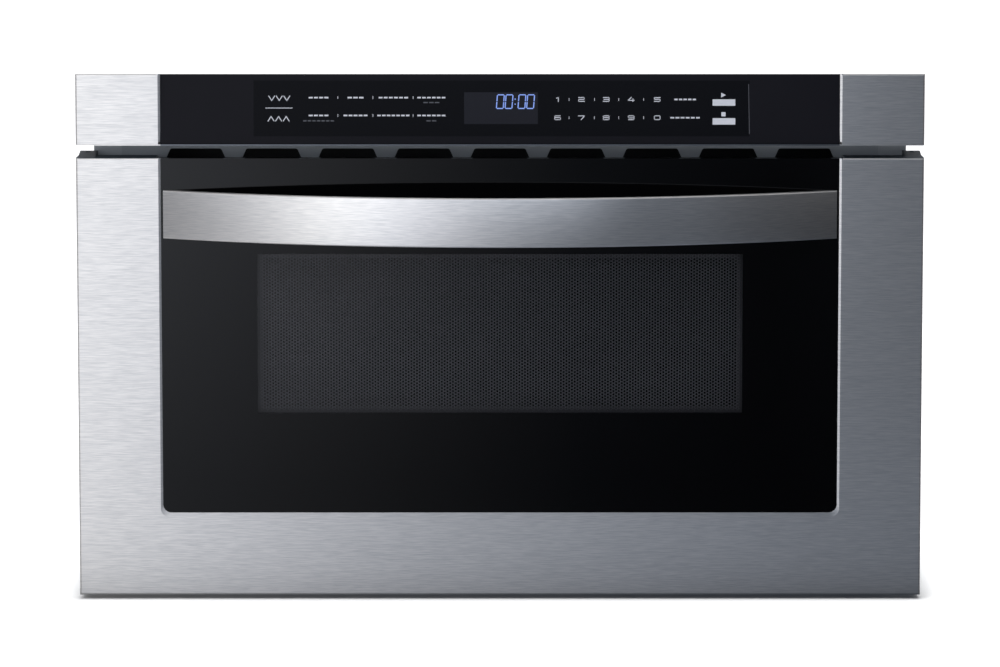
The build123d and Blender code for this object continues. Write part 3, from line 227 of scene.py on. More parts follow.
def mesh_object(name: str, points: Iterable[Sequence[float]], faces: Iterable[Sequence[int]],
                smooth: bool = False, crease: float = 0.0) -> Item:
    """An object at the origin from points in millimetres, its doubles merged and its faces turned outwards.

    Args:
        name: Name of the object and its mesh.
        points: Corners, in millimetres.
        faces: Corner numbers of each face.
        smooth: True for smooth shading.
        crease: Angle in degrees above which an edge stays sharp; 0 where none does.

    Returns:
        The object, linked to the scene.
    """
    mesh = bpy.data.meshes.new(name)
    mesh.from_pydata([metres(*p) for p in points], [], [tuple(f) for f in faces])
    work = bmesh.new()
    work.from_mesh(mesh)
    bmesh.ops.remove_doubles(work, verts=work.verts, dist=1e-7)
    bmesh.ops.recalc_face_normals(work, faces=work.faces)
    work.to_mesh(mesh)
    work.free()
    for face in mesh.polygons:
        face.use_smooth = smooth
    if crease:
        mesh.set_sharp_from_angle(angle=math.radians(crease))
    return linked(name, mesh)


def linked(name: str, data: bpy.types.ID) -> Item:
    """An object in the scene.

    Args:
        name: Its name.
        data: Its mesh, lamp or camera.

    Returns:
        The object.
    """
    item = bpy.data.objects.new(name, data)
    bpy.context.scene.collection.objects.link(item)
    return item


def rectangle(left: float, right: float, low: float, high: float) -> list[Flat]:
    """Counter-clockwise outline of a rectangle.

    Args:
        left: Its left edge.
        right: Its right edge.
        low: Its lower edge.
        high: Its upper edge.

    Returns:
        Its corners.
    """
    return [(left, low), (right, low), (right, high), (left, high)]


def prism(outline: Sequence[Flat], low: float, high: float, place: Place) -> Solid:
    """Corners and faces of a straight prism.

    Args:
        outline: Its section, counter-clockwise.
        low: Depth of one end.
        high: Depth of the other end.
        place: Turns (u, v, depth) into a point.

    Returns:
        Points and faces.
    """
    n = len(outline)
    points = [place(u, v, d) for d in (low, high) for u, v in outline]
    sides = [(i, (i + 1) % n, n + (i + 1) % n, n + i) for i in range(n)]
    return points, [tuple(reversed(range(n))), tuple(range(n, 2 * n)), *sides]


def ring(outer: Sequence[Flat], inner: Sequence[Flat], low: float, high: float, place: Place) -> Solid:
    """Corners and faces of a straight ring between two outlines with as many points each.

    Args:
        outer: Outer outline, counter-clockwise.
        inner: Inner outline, counter-clockwise.
        low: Depth of one end.
        high: Depth of the other end.
        place: Turns (u, v, depth) into a point.

    Returns:
        Points and faces.
    """
    n = len(outer)
    points = [place(u, v, d) for d in (low, high) for line in (outer, inner) for u, v in line]
    faces = []
    for i in range(n):
        j = (i + 1) % n
        faces += [(i, n + i, n + j, j), (2 * n + i, 2 * n + j, 3 * n + j, 3 * n + i),
                  (i, j, 2 * n + j, 2 * n + i), (n + i, 3 * n + i, 3 * n + j, n + j)]
    return points, faces


def skin(rows: int, around: int, closed: bool = False) -> list[tuple[int, ...]]:
    """Faces of a tube whose points come in rows, each row once round it.

    Args:
        rows: How many rows.
        around: Points in each row.
        closed: True where the last row meets the first; otherwise both ends are capped.

    Returns:
        Corner numbers of each face.
    """
    faces = [(i * around + k, i * around + (k + 1) % around,
              (i + 1) % rows * around + (k + 1) % around, (i + 1) % rows * around + k)
             for i in range(rows if closed else rows - 1) for k in range(around)]
    caps = [] if closed else [tuple(range(around)), tuple(range((rows - 1) * around, rows * around))]
    return faces + caps


def turned(profile: Sequence[Flat], steps: int, place: Place) -> Solid:
    """Corners and faces of a turned shape.

    Args:
        profile: Closed line of (radius, height).
        steps: Flats round the axis.
        place: Turns (u, v, height) into a point.

    Returns:
        Points and faces.
    """
    turns = [2 * math.pi * i / steps for i in range(steps)]
    points = [place(r * math.cos(a), r * math.sin(a), h) for r, h in profile for a in turns]
    # A run along the axis itself has no faces.
    faces = [face for face in skin(len(profile), steps, closed=True)
             if profile[face[0] // steps][0] or profile[face[3] // steps][0]]
    return points, faces


def wire(path: Sequence[Flat], radius: float, sides: int = 6) -> Solid:
    """Corners and faces of a round wire bent into a closed convex loop in the XY plane.

    Args:
        path: Its centre line, counter-clockwise.
        radius: Of the wire.
        sides: Flats round the wire.

    Returns:
        Points and faces.
    """
    points = []
    for i, (x, y) in enumerate(path):
        along = Vector(path[(i + 1) % len(path)]) - Vector(path[i - 1])
        out = Vector((along.y, -along.x)).normalized()
        for k in range(sides):
            a = 2 * math.pi * k / sides
            reach = radius * math.cos(a)
            points.append((x + reach * out.x, y + reach * out.y, radius * math.sin(a)))
    return points, skin(len(path), sides, closed=True)


def bent_sheet(path: Sequence[Flat], sheet: float, bend: float, steps: int = 4) -> list[Flat]:
    """Section of a folded sheet.

    Args:
        path: Corners of its middle line.
        sheet: Its thickness.
        bend: Radius of the middle line in the folds.
        steps: Straight pieces in each fold.

    Returns:
        Its closed outline.
    """
    middle = [Vector(path[0])]
    for before, at, after in zip(path, path[1:], path[2:]):
        one, two = (Vector(before) - Vector(at)).normalized(), (Vector(after) - Vector(at)).normalized()
        start, end = Vector(at) + one * bend, Vector(at) + two * bend
        centre = Vector(at) + (one + two) * bend
        for k in range(steps + 1):
            inner = 0 < k < steps
            ends = (end if k else start) - centre
            spoke = (start - centre).slerp(end - centre, k / steps) if inner else ends
            middle.append(centre + spoke)
    middle.append(Vector(path[-1]))
    sides: tuple[list[Flat], list[Flat]] = ([], [])
    for i, spot in enumerate(middle):
        along = (middle[min(i + 1, len(middle) - 1)] - middle[max(i - 1, 0)]).normalized()
        off = Vector((along.y, -along.x)) * sheet / 2
        sides[0].append(tuple(spot + off))
        sides[1].append(tuple(spot - off))
    return sides[0] + sides[1][::-1]


def along_y(u: float, v: float, depth: float) -> Point:
    """Places a section drawn in X and Z at a Y.

    Args:
        u: First coordinate of the section.
        v: Its second coordinate.
        depth: The place along Y.

    Returns:
        The point.
    """
    return u, depth, v


def along_z(u: float, v: float, depth: float) -> Point:
    """Places a section drawn in X and Y at a Z.

    Args:
        u: First coordinate of the section.
        v: Its second coordinate.
        depth: The place along Z.

    Returns:
        The point.
    """
    return u, v, depth


def joined(parts: Iterable[Solid]) -> Solid:
    """Several pieces of corners and faces as one.

    Args:
        parts: Pairs of points and faces.

    Returns:
        Points and faces.
    """
    points: list = []
    faces: list = []
    for some_points, some_faces in parts:
        start = len(points)
        points += some_points
        faces += [tuple(start + i for i in face) for face in some_faces]
    return points, faces


def bordered(xs: Sequence[float], zs: Sequence[float], front: float, back: float) -> Solid:
    """An upright sheet of eight cells round an opening.

    Args:
        xs: Upright edges: outer, inner, inner, outer.
        zs: Level edges, likewise.
        front: Y of its front.
        back: Y of its back.

    Returns:
        Points and faces.
    """
    cells = [rectangle(*xs[i:i + 2], *zs[j:j + 2]) for i in range(3) for j in range(3) if (i, j) != (1, 1)]
    return joined(prism(cell, front, back, along_y) for cell in cells)


def rounded(width: float, height: float, radius: float, steps: int = 6) -> list[Flat]:
    """Counter-clockwise outline of a rectangle with round corners, about its middle.

    Args:
        width: Whole width.
        height: Whole height.
        radius: Of the corners.
        steps: Straight pieces per corner.

    Returns:
        The outline's points.
    """
    outline = []
    for corner, (sx, sy) in enumerate(((1, 1), (-1, 1), (-1, -1), (1, -1))):
        for step in range(steps + 1):
            turn = math.pi / 2 * (corner + step / steps)
            outline.append((sx * (width / 2 - radius) + radius * math.cos(turn),
                            sy * (height / 2 - radius) + radius * math.sin(turn)))
    return outline


def dress(finish: "Finish", *nodes: str) -> None:
    """Gives CAD nodes a finish and reports them.

    Args:
        finish: Their finish.
        *nodes: Names of the nodes.
    """
    for name in nodes:
        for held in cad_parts[name].material_slots:
            held.material = finish.material()
        log.info("%s: %s", name, finish.name)


def piece(item: Item, finish: "Finish", body: str, *stands_for: str) -> None:
    """Finishes a new piece: its material, the body it rides on and the CAD nodes it stands for.

    Args:
        item: The piece.
        finish: Its finish; a mesh that came with its material keeps it.
        body: CAD body that carries it.
        *stands_for: CAD nodes that it replaces.
    """
    if not item.data.materials:
        item.data.materials.append(finish.material())
    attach(item, body)
    if stands_for:
        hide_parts(*stands_for)
    log.info("%s: %d faces, %s, on %s", item.name, len(item.data.polygons), finish.name, body)


# ---- Finishes -------------------------------------------------------------------------
CALM, STRONG = 0.3, 0.7  # a noise keeps mostly between these
QUARTER_TURN = 0.25  # from the brush lines' direction, so that light stretches across them
BRUSH_BIAS = (-0.001, 0, 0)  # gives faces that look straight up or down a brush direction too


@dataclass
class Paint:
    """A material in the making.

    Attributes:
        tree: Its nodes.
        shader: Its Principled BSDF.
        where: Object coordinates, in metres.
    """

    tree: Tree
    shader: Node
    where: Socket

    def link(self, name: str, source: Socket) -> None:
        """Drives one of the shader's inputs.

        Args:
            name: The input.
            source: What drives it.
        """
        self.tree.links.new(source, self.shader.inputs[name])

    def constants(self, **values: float) -> None:
        """Sets some of the shader's inputs.

        Args:
            **values: The inputs' names, with _ for a space, and their values.
        """
        for name, value in values.items():
            self.shader.inputs[name.replace("_", " ")].default_value = value

    def colours(self, factor: Socket, *stops: tuple[float, str]) -> None:
        """Colours the surface by a pattern.

        Args:
            factor: The pattern, 0 to 1.
            *stops: Positions and sRGB colours, in order.
        """
        self.link("Base Color", ramp(self.tree, factor, stops))

    def mottle(self, one: str, other: str, size: float, detail: float = 2.0,
               stretch: Point = (1, 1, 1)) -> Socket:
        """A noise between two colours.

        Args:
            one: The first sRGB colour.
            other: The second.
            size: Size of the marks, in millimetres.
            detail: Octaves of the noise.
            stretch: Scale along each axis.

        Returns:
            The noise's factor.
        """
        mapped = add(self.tree, "ShaderNodeMapping", {"Vector": self.where, "Scale": stretch}).outputs[0]
        factor = noise(self.tree, mapped, 1000 / size, detail)
        self.colours(factor, (CALM, one), (STRONG, other))
        return factor

    def cover(self, mask: Socket, colour: str) -> None:
        """Lays one colour over a part of the surface.

        Args:
            mask: 1 in that part.
            colour: The sRGB colour there.
        """
        below = self.shader.inputs["Base Color"].links[0].from_socket
        self.link("Base Color", mixed(self.tree, mask, below, linear(colour)))

    def relief(self, height: Socket, depth: float, strength: float = 1.0) -> Node:
        """Lets a pattern raise the surface.

        Args:
            height: The pattern, 0 to 1.
            depth: Its real height, in millimetres.
            strength: Share of it that is used.

        Returns:
            The bump's node.
        """
        raised = {"Strength": strength, "Distance": depth / 1000, "Height": height}
        bump = add(self.tree, "ShaderNodeBump", raised)
        self.link("Normal", bump.outputs[0])
        return bump


@dataclass(frozen=True)
class Finish:
    """A finish: what the surface is, and how its material is built.

    Attributes:
        name: The material's common name and how its surface was made.
        slot: The record's material slot; not used.
        colour: Main sRGB colour.
        roughness: Of the shader.
        metallic: 1 for bare metal.
        other: Second sRGB colour of the pattern.
        depth: Height of the relief, in millimetres.
        uneven: How far the pattern takes the roughness down and up.
    """

    name: str
    slot: str
    colour: str
    roughness: float = 0.5
    metallic: float = 0.0
    other: str = "#000000"
    depth: float = 0.02
    uneven: Flat = (0.0, 0.0)

    def material(self) -> bpy.types.Material:
        """The finish's material, built the first time it is asked for.

        Returns:
            The material.
        """
        known = bpy.data.materials.get(self.name)
        if known:
            return known
        made = bpy.data.materials.new(self.name)
        tree = cleared(made)
        base = {"Base Color": linear(self.colour), "Roughness": self.roughness, "Metallic": self.metallic}
        shader = add(tree, "ShaderNodeBsdfPrincipled", base)
        self.pattern(Paint(tree, shader, add(tree, "ShaderNodeTexCoord").outputs["Object"]))
        add(tree, "ShaderNodeOutputMaterial", {"Surface": shader.outputs[0]})
        return made

    def pattern(self, paint: Paint) -> None:
        """Adds what makes this surface its own.

        Args:
            paint: The material in the making.
        """

    def spread(self, paint: Paint, factor: Socket) -> None:
        """Lets a pattern vary the roughness.

        Args:
            paint: The material in the making.
            factor: The pattern, 0 to 1.
        """
        ends = (self.roughness + self.uneven[0], self.roughness + self.uneven[1])
        paint.link("Roughness", ranged(paint.tree, factor, target=ends))


@dataclass(frozen=True)
class BrushedStainless(Finish):
    """Stainless steel brushed along X: light runs up and down across the lines, and stays sharp along them.

    Attributes:
        anisotropy: Of the shader.
        line_height: Between two lines; real ones are about 0.1 mm apart, drawn coarser so that they show.
        line_length: Length of a line.
        painted_shade_lip: Half width and top, in metres, of a folded edge that isn't brushed and is darkened
            with painted shade.
        painted_shade_lip_colour: Its sRGB colour: painted shade.
        painted_shade_top: Height, in metres, above which a folded edge isn't brushed and is darkened with
            painted shade from the part above.
        painted_shade_top_colour: Its sRGB colour: painted shade.
        fold: Half width and lower edge, in metres, of a rolled edge round an opening.
        roll: How strongly the rolled edge's shading turns to the front.
    """

    other: str = "#d0cfcf"
    depth: float = 0.004
    uneven: Flat = (-0.04, 0.04)
    anisotropy: float = 0.9
    line_height: float = 0.45
    line_length: float = 11.0
    painted_shade_lip: Flat | None = None
    painted_shade_lip_colour: str = "#6d7178"
    painted_shade_top: float | None = None
    painted_shade_top_colour: str = "#454d55"
    fold: Flat | None = None
    roll: float = 1.24

    def region(self, paint: Paint, limits: Flat, side: str) -> Socket:
        """Marks the part between two uprights and above or below a height.

        Args:
            paint: The material in the making.
            limits: Half width and height, in metres.
            side: GREATER_THAN for above, LESS_THAN for below.

        Returns:
            1 in that part, 0 elsewhere.
        """
        x, _, z = add(paint.tree, "ShaderNodeSeparateXYZ", {0: paint.where}).outputs
        between = scalar_math(paint.tree, "LESS_THAN", scalar_math(paint.tree, "ABSOLUTE", x), limits[0])
        return scalar_math(paint.tree, "MULTIPLY", between, scalar_math(paint.tree, side, z, limits[1]))

    def pattern(self, paint: Paint) -> None:
        """Adds the brush lines, their direction and the edges that aren't brushed, darkened with painted
        shade.

        Args:
            paint: The material in the making.
        """
        tree = paint.tree
        paint.constants(Anisotropic=self.anisotropy, Anisotropic_Rotation=QUARTER_TURN)
        facing = add(tree, "ShaderNodeNewGeometry").outputs["Normal"]
        level = vector_math(tree, "CROSS_PRODUCT", facing, (0, 0, 1))
        paint.link("Tangent", vector_math(tree, "ADD", level, BRUSH_BIAS))
        thin = self.line_height / self.line_length
        factor = paint.mottle(self.colour, self.other, self.line_height, 3, (thin, thin, 1))
        self.spread(paint, factor)
        bump = paint.relief(factor, self.depth)
        # Painted shade: the panel's folded edge below the touch glass gets a darker colour for the shade
        # there.
        if self.painted_shade_lip:
            paint.cover(self.region(paint, self.painted_shade_lip, "LESS_THAN"), self.painted_shade_lip_colour)
        # Painted shade: the trim's top edge under the control panel gets a darker colour for the panel's
        # shadow.
        if self.painted_shade_top:
            height = add(tree, "ShaderNodeSeparateXYZ", {0: paint.where}).outputs[2]
            paint.cover(scalar_math(tree, "GREATER_THAN", height, self.painted_shade_top), self.painted_shade_top_colour)
        if self.fold:
            # A rolled edge shows the room to its side; the flat bevel alone would mirror only the glass.
            outward = vector_math(tree, "MULTIPLY", facing, (1, 1, 0))
            rolled = vector_math(tree, "NORMALIZE", vector_math(tree, "ADD", outward, (0, -self.roll, 0)))
            inside = self.region(paint, self.fold, "GREATER_THAN")
            shown = add(tree, "ShaderNodeMix", {0: inside, 4: facing, 5: rolled}, data_type="VECTOR")
            tree.links.new(shown.outputs[1], bump.inputs["Normal"])


@dataclass(frozen=True)
class ToughenedGlass(Finish):
    """Float glass backed with ink: a flat mirror-sharp gloss with the faintest waviness.

    Attributes:
        ior: Its refraction, lower where a coating dulls the gloss.
        level: Strength of its gloss.
        opacity: 1 for opaque.
        wave: Between the waves that the rollers leave when glass is toughened.
    """

    uneven: Flat = (0.0, 0.02)
    ior: float = 1.39
    level: float = 0.5
    opacity: float = 1.0
    wave: float = 140.0

    def pattern(self, paint: Paint) -> None:
        """Adds the gloss and the waviness.

        Args:
            paint: The material in the making.
        """
        paint.constants(IOR=self.ior, Specular_IOR_Level=self.level, Alpha=self.opacity)
        waves = noise(paint.tree, paint.where, 1000 / self.wave, 1.0)
        paint.relief(waves, self.depth)
        self.spread(paint, waves)


@dataclass(frozen=True)
class ColdRolledSheet(Finish):
    """Zinc-coated sheet: soft patches of light, with faint rolling lines.

    Attributes:
        spangle: Size of the zinc's crystals, drawn coarser so that they show.
        lines: Rolling marks per metre.
    """

    other: str = "#a9adb1"
    depth: float = 0.01
    uneven: Flat = (-0.06, 0.1)
    spangle: float = 9.0
    lines: float = 900.0

    def pattern(self, paint: Paint) -> None:
        """Adds the zinc's crystals and the rolling lines.

        Args:
            paint: The material in the making.
        """
        cells = add(paint.tree, "ShaderNodeTexVoronoi", {"Vector": paint.where, "Scale": 1000 / self.spangle})
        tone = add(paint.tree, "ShaderNodeSeparateColor", {0: cells.outputs["Color"]}).outputs[0]
        paint.colours(tone, (0.0, self.colour), (1.0, self.other))
        self.spread(paint, tone)
        paint.relief(noise(paint.tree, paint.where, self.lines), self.depth)


@dataclass(frozen=True)
class Grained(Finish):
    """Moulded, cast or coated surface: a fine even grain that breaks the gloss, and a slight tone change.

    Attributes:
        grain: Size of the grain.
        cloud: Size of the patches of tone.
        strength: Share of the relief that is used.
        ior: Refraction, where it isn't bare metal.
    """

    uneven: Flat = (-0.05, 0.08)
    grain: float = 1.2
    cloud: float = 60.0
    strength: float = 0.6
    ior: float = 1.5

    def pattern(self, paint: Paint) -> None:
        """Adds the grain.

        Args:
            paint: The material in the making.
        """
        if not self.metallic:
            paint.constants(IOR=self.ior)
        paint.mottle(self.colour, self.other, self.cloud)
        fine = noise(paint.tree, paint.where, 1000 / self.grain)
        paint.relief(fine, self.depth, self.strength)
        self.spread(paint, fine)


@dataclass(frozen=True)
class Layered(Finish):
    """Stacked or wound metal: thin lines of light and dark along one axis.

    Attributes:
        pitch: Between two layers.
        axis: The axis that the layers follow each other on.
    """

    pitch: float = 1.5
    axis: str = "Z"

    def pattern(self, paint: Paint) -> None:
        """Adds the layers.

        Args:
            paint: The material in the making.
        """
        # The wave texture draws about 3.2 waves for each unit of its scale.
        waves = {"Vector": paint.where, "Scale": 1000 / self.pitch / 3.2, "Distortion": 0.4}
        bands = add(paint.tree, "ShaderNodeTexWave", waves, bands_direction=self.axis).outputs["Fac"]
        paint.colours(bands, (0.2, self.other), (0.7, self.colour))
        paint.relief(bands, self.pitch / 4)


@dataclass(frozen=True)
class SolderedBoard(Finish):
    """Etched circuit board: green lacquer over square-cornered tracks.

    Attributes:
        track: Size of a field between tracks.
    """

    other: str = "#2f7a4c"
    depth: float = 0.04
    track: float = 3.0

    def pattern(self, paint: Paint) -> None:
        """Adds the tracks.

        Args:
            paint: The material in the making.
        """
        cells = add(paint.tree, "ShaderNodeTexVoronoi", {"Vector": paint.where, "Scale": 1000 / self.track},
                    distance="CHEBYCHEV").outputs["Distance"]
        paint.colours(cells, (0.35, self.colour), (0.4, self.other))
        paint.relief(cells, self.depth)


@dataclass(frozen=True)
class LitSegment(Finish):
    """Segments of a display, lit from behind.

    Attributes:
        glow: Strength of the light.
        patches: Patches of brightness per metre.
        light: Positions and sRGB colours of the light, from the dim patches to the bright ones.
    """

    glow: float = 1.0
    patches: float = 400.0
    light: Stops = ((0.3, "#7590da"), (0.8, "#8ba7ee"))

    def pattern(self, paint: Paint) -> None:
        """Adds the light, a little uneven along each segment.

        Args:
            paint: The material in the making.
        """
        tone = noise(paint.tree, paint.where, self.patches)
        paint.link("Emission Color", ramp(paint.tree, tone, self.light))
        paint.constants(Emission_Strength=self.glow)


# Each name says what the surface is; the comments say what that gives the eye.
# Brushed steel gives long soft streaks of light that run up and down.
# STEEL darkens the front trim's top edge under the control panel: painted shade.
STEEL = BrushedStainless("stainless_steel_brushed", "brushed_steel", "#ebe8e6", 0.42, 1.0, anisotropy=0.85,
                         fold=(0.2443, 0.0597), painted_shade_top=0.3188)
# PANEL_STEEL darkens the folded edge below the touch glass: painted shade.
PANEL_STEEL = BrushedStainless("stainless_steel_brushed_folded_painted_shade", "brushed_steel", "#ebe8e6", 0.42, 1.0,
                               anisotropy=0.85, painted_shade_lip=(0.2424, 0.3293), fold=(0.2446, 0.3305))
HANDLE_STEEL = BrushedStainless("stainless_steel_brushed_bar", "brushed_steel", "#ebe8e6", 0.38, 1.0,
                                anisotropy=0.7)
# Glass mirrors the room sharply; etched and tinted sheets mirror it softly and stay dark.
DOOR_GLASS = ToughenedGlass("float_glass_black_ink", "black_glass", "#020203", 0.03, ior=1.34)
WINDOW_GLASS = ToughenedGlass("float_glass_grey_tint", "black_glass", "#050507", 0.03, level=0.95,
                              opacity=0.38)
TOUCH_GLASS = ToughenedGlass("etched_glass_smoked", "black_glass", "#16161b", 0.18, ior=1.45, level=0.06)
TOUCH_FIELD = ToughenedGlass("etched_glass_touch_field", "black_glass", "#0b0c10", 0.22, ior=1.45, level=0.06)
DISPLAY_FILTER = ToughenedGlass("acrylic_display_filter", "black_glass", "#1b1c23", 0.2, level=0.15)
# Painted shade: the inner pane is near black and mostly opaque, so that the screen's holes look dark, as the
# shaded cavity would.
INNER_GLASS_PAINTED_SHADE = ToughenedGlass("float_glass_dark_painted_shade", "clear_glass", "#0a0c0d", 0.03, opacity=0.62)
# Enamel, lacquer and paint on sheet: an even tone with a broad soft gloss, next to none where it is matt.
# Painted shade: near-black sheet on the exhaust duct and the choke panel, so that the duct's openings and the
# screen's holes look dark, as the shade inside the case would.
SHADE_BLACK_SHEET = Grained("steel_sheet_black_painted_shade", "dark_trim", "#08090b", 0.35, other="#0d0e10", grain=0.8)
FRAME_SHEET = Grained("steel_sheet_grey_lacquer", "dark_trim", "#c6ccd2", 0.38, other="#c0c6cc", grain=0.8)
GRILLE_SHEET = Grained("steel_sheet_grey_lacquer_matt", "dark_trim", "#bac1c8", 0.45,
                       other="#b3bac1", grain=0.8)
# The screen's plain rim, a thin strip inside the window's edge, is drawn darker than the perforated field.
RIM_PAINT = Grained("steel_screen_rim_dark_grey", "dark_trim", "#5b5c64", 0.7, other="#56575e", grain=0.5)
SCREEN_PAINT = Grained("steel_screen_grey_paint", "dark_trim", "#7b7c86", 0.7, other="#757680", grain=0.5)
ENAMEL = Grained("steel_grey_vitreous_enamel", "oven_enamel", "#8b8e90", 0.22,
                 other="#84878a", grain=2.5, depth=0.03)
# Bare and plated metal: a coloured gloss, clouded by spangle or fine grain.
GALVANISED = ColdRolledSheet("galvanised_sheet_rolled", "galvanised", "#b9bdc1", 0.42, 1.0)
ZINC = Grained("steel_zinc_plated", "zinc_hardware", "#b8bcc2", 0.32, 1.0,
               other="#a7abb2", grain=0.6, depth=0.006)
BRASS = Grained("brass_sheet_punched", "zinc_hardware", "#b59a5a", 0.35, 1.0,
                other="#a88d50", grain=0.6, depth=0.006)
ALUMINIUM = Grained("aluminium_stamped", "aluminium", "#d0d3d6", 0.35, 1.0,
                    other="#c3c6ca", grain=0.8, depth=0.01)
COPPER = Layered("copper_wire_enamelled", "copper_winding", "#b4592c", 0.35, 1.0, other="#5e2a14", pitch=1.2)
IRON = Layered("silicon_iron_laminated", "laminated_iron", "#6c6d70", 0.5, 1.0,
               other="#3c3d40", pitch=2.0, axis="X")
# Moulded plastic and rubber: the grain spreads the gloss to a soft sheen; ceramic stays smooth and bright.
BLACK_ABS = Grained("abs_black_moulded", "black_plastic", "#101114", 0.45, other="#15161a")
GREY_ABS = Grained("abs_grey_moulded", "grey_plastic", "#5d6469", 0.5, other="#666d72")
CAP_PLASTIC = Grained("abs_dark_grey_moulded", "grey_plastic", "#3c4046", 0.42, other="#43474d")
WHITE_PP = Grained("polypropylene_white_moulded", "white_plastic", "#dcdcd6", 0.42, other="#d2d2cc")
ACETAL = Grained("acetal_natural_moulded", "natural_plastic", "#e4e1d3", 0.38, other="#dad6c6", grain=0.8)
BIN_POLYMER = Grained("polyester_grey_moulded", "bin_plastic", "#a3a5a4", 0.34, other="#9a9c9b", grain=1.0)
RUBBER = Grained("rubber_black_moulded", "rubber", "#17181a", 0.7, other="#1c1d1f")
CERAMIC = Grained("glass_ceramic_white_rolled", "glass_ceramic", "#d7d8d4", 0.12,
                  other="#cfd0cc", grain=4.0, ior=1.54)
# Lacquered tracks, matt print and lit segments.
BOARD = SolderedBoard("glass_epoxy_board_etched", "circuit_board", "#1d5a38", 0.35)
MARK_INK = Grained("ink_white_screen_printed", "white_plastic", "#c9ccd6", 0.6,
                   other="#c0c3ce", grain=0.5, depth=0.002)
FAINT_INK = Grained("ink_grey_screen_printed", "grey_plastic", "#4b4d55", 0.6,
                    other="#44464e", grain=0.5, depth=0.002)
SEGMENT = LitSegment("display_segment_blue", "white_plastic", "#38466e", 0.5)


# ---- Studio ---------------------------------------------------------------------------
ROOM_WALL: Stops = ((0.0, "#e2e3e6"), (0.4, "#d5d6da"), (0.62, "#6c727c"), (1.0, "#363a41"))
CARD_NEAR: Stops = (
    (0.0, "#5f6064"), (0.19, "#84868b"), (0.276, "#bcbec4"), (0.345, "#fafdff"), (0.40, "#ecf1fa"),
    (0.428, "#d1d5df"), (0.444, "#c0c3cb"), (0.478, "#95989f"), (0.5, "#767a81"), (0.522, "#565b62"),
    (0.544, "#45494f"), (0.572, "#33373c"), (0.656, "#484c52"), (0.741, "#2a2d31"), (1.0, "#0c0d0e"))
CARD_HIGH: Stops = (
    (0.0, "#5f6166"), (0.276, "#c6c9ce"), (0.37, "#fbfdff"), (0.43, "#e1e5ec"), (0.47, "#c9cfd9"),
    (0.5, "#c6cdd8"), (0.56, "#b2bac7"), (0.58, "#858e9b"), (0.592, "#3f4650"), (0.66, "#434a54"),
    (0.74, "#2a2d34"), (1.0, "#0c0e11"))
CARD_LOW: Stops = (
    (0.0, "#6f7175"), (0.25, "#b5b7bb"), (0.39, "#fbfcff"), (0.43, "#d0d4db"), (0.47, "#b0b6c0"),
    (0.5, "#a0a7b3"), (0.54, "#9098a6"), (0.60, "#858e9c"), (0.66, "#565d68"), (0.74, "#2c2f35"),
    (1.0, "#15171a"))


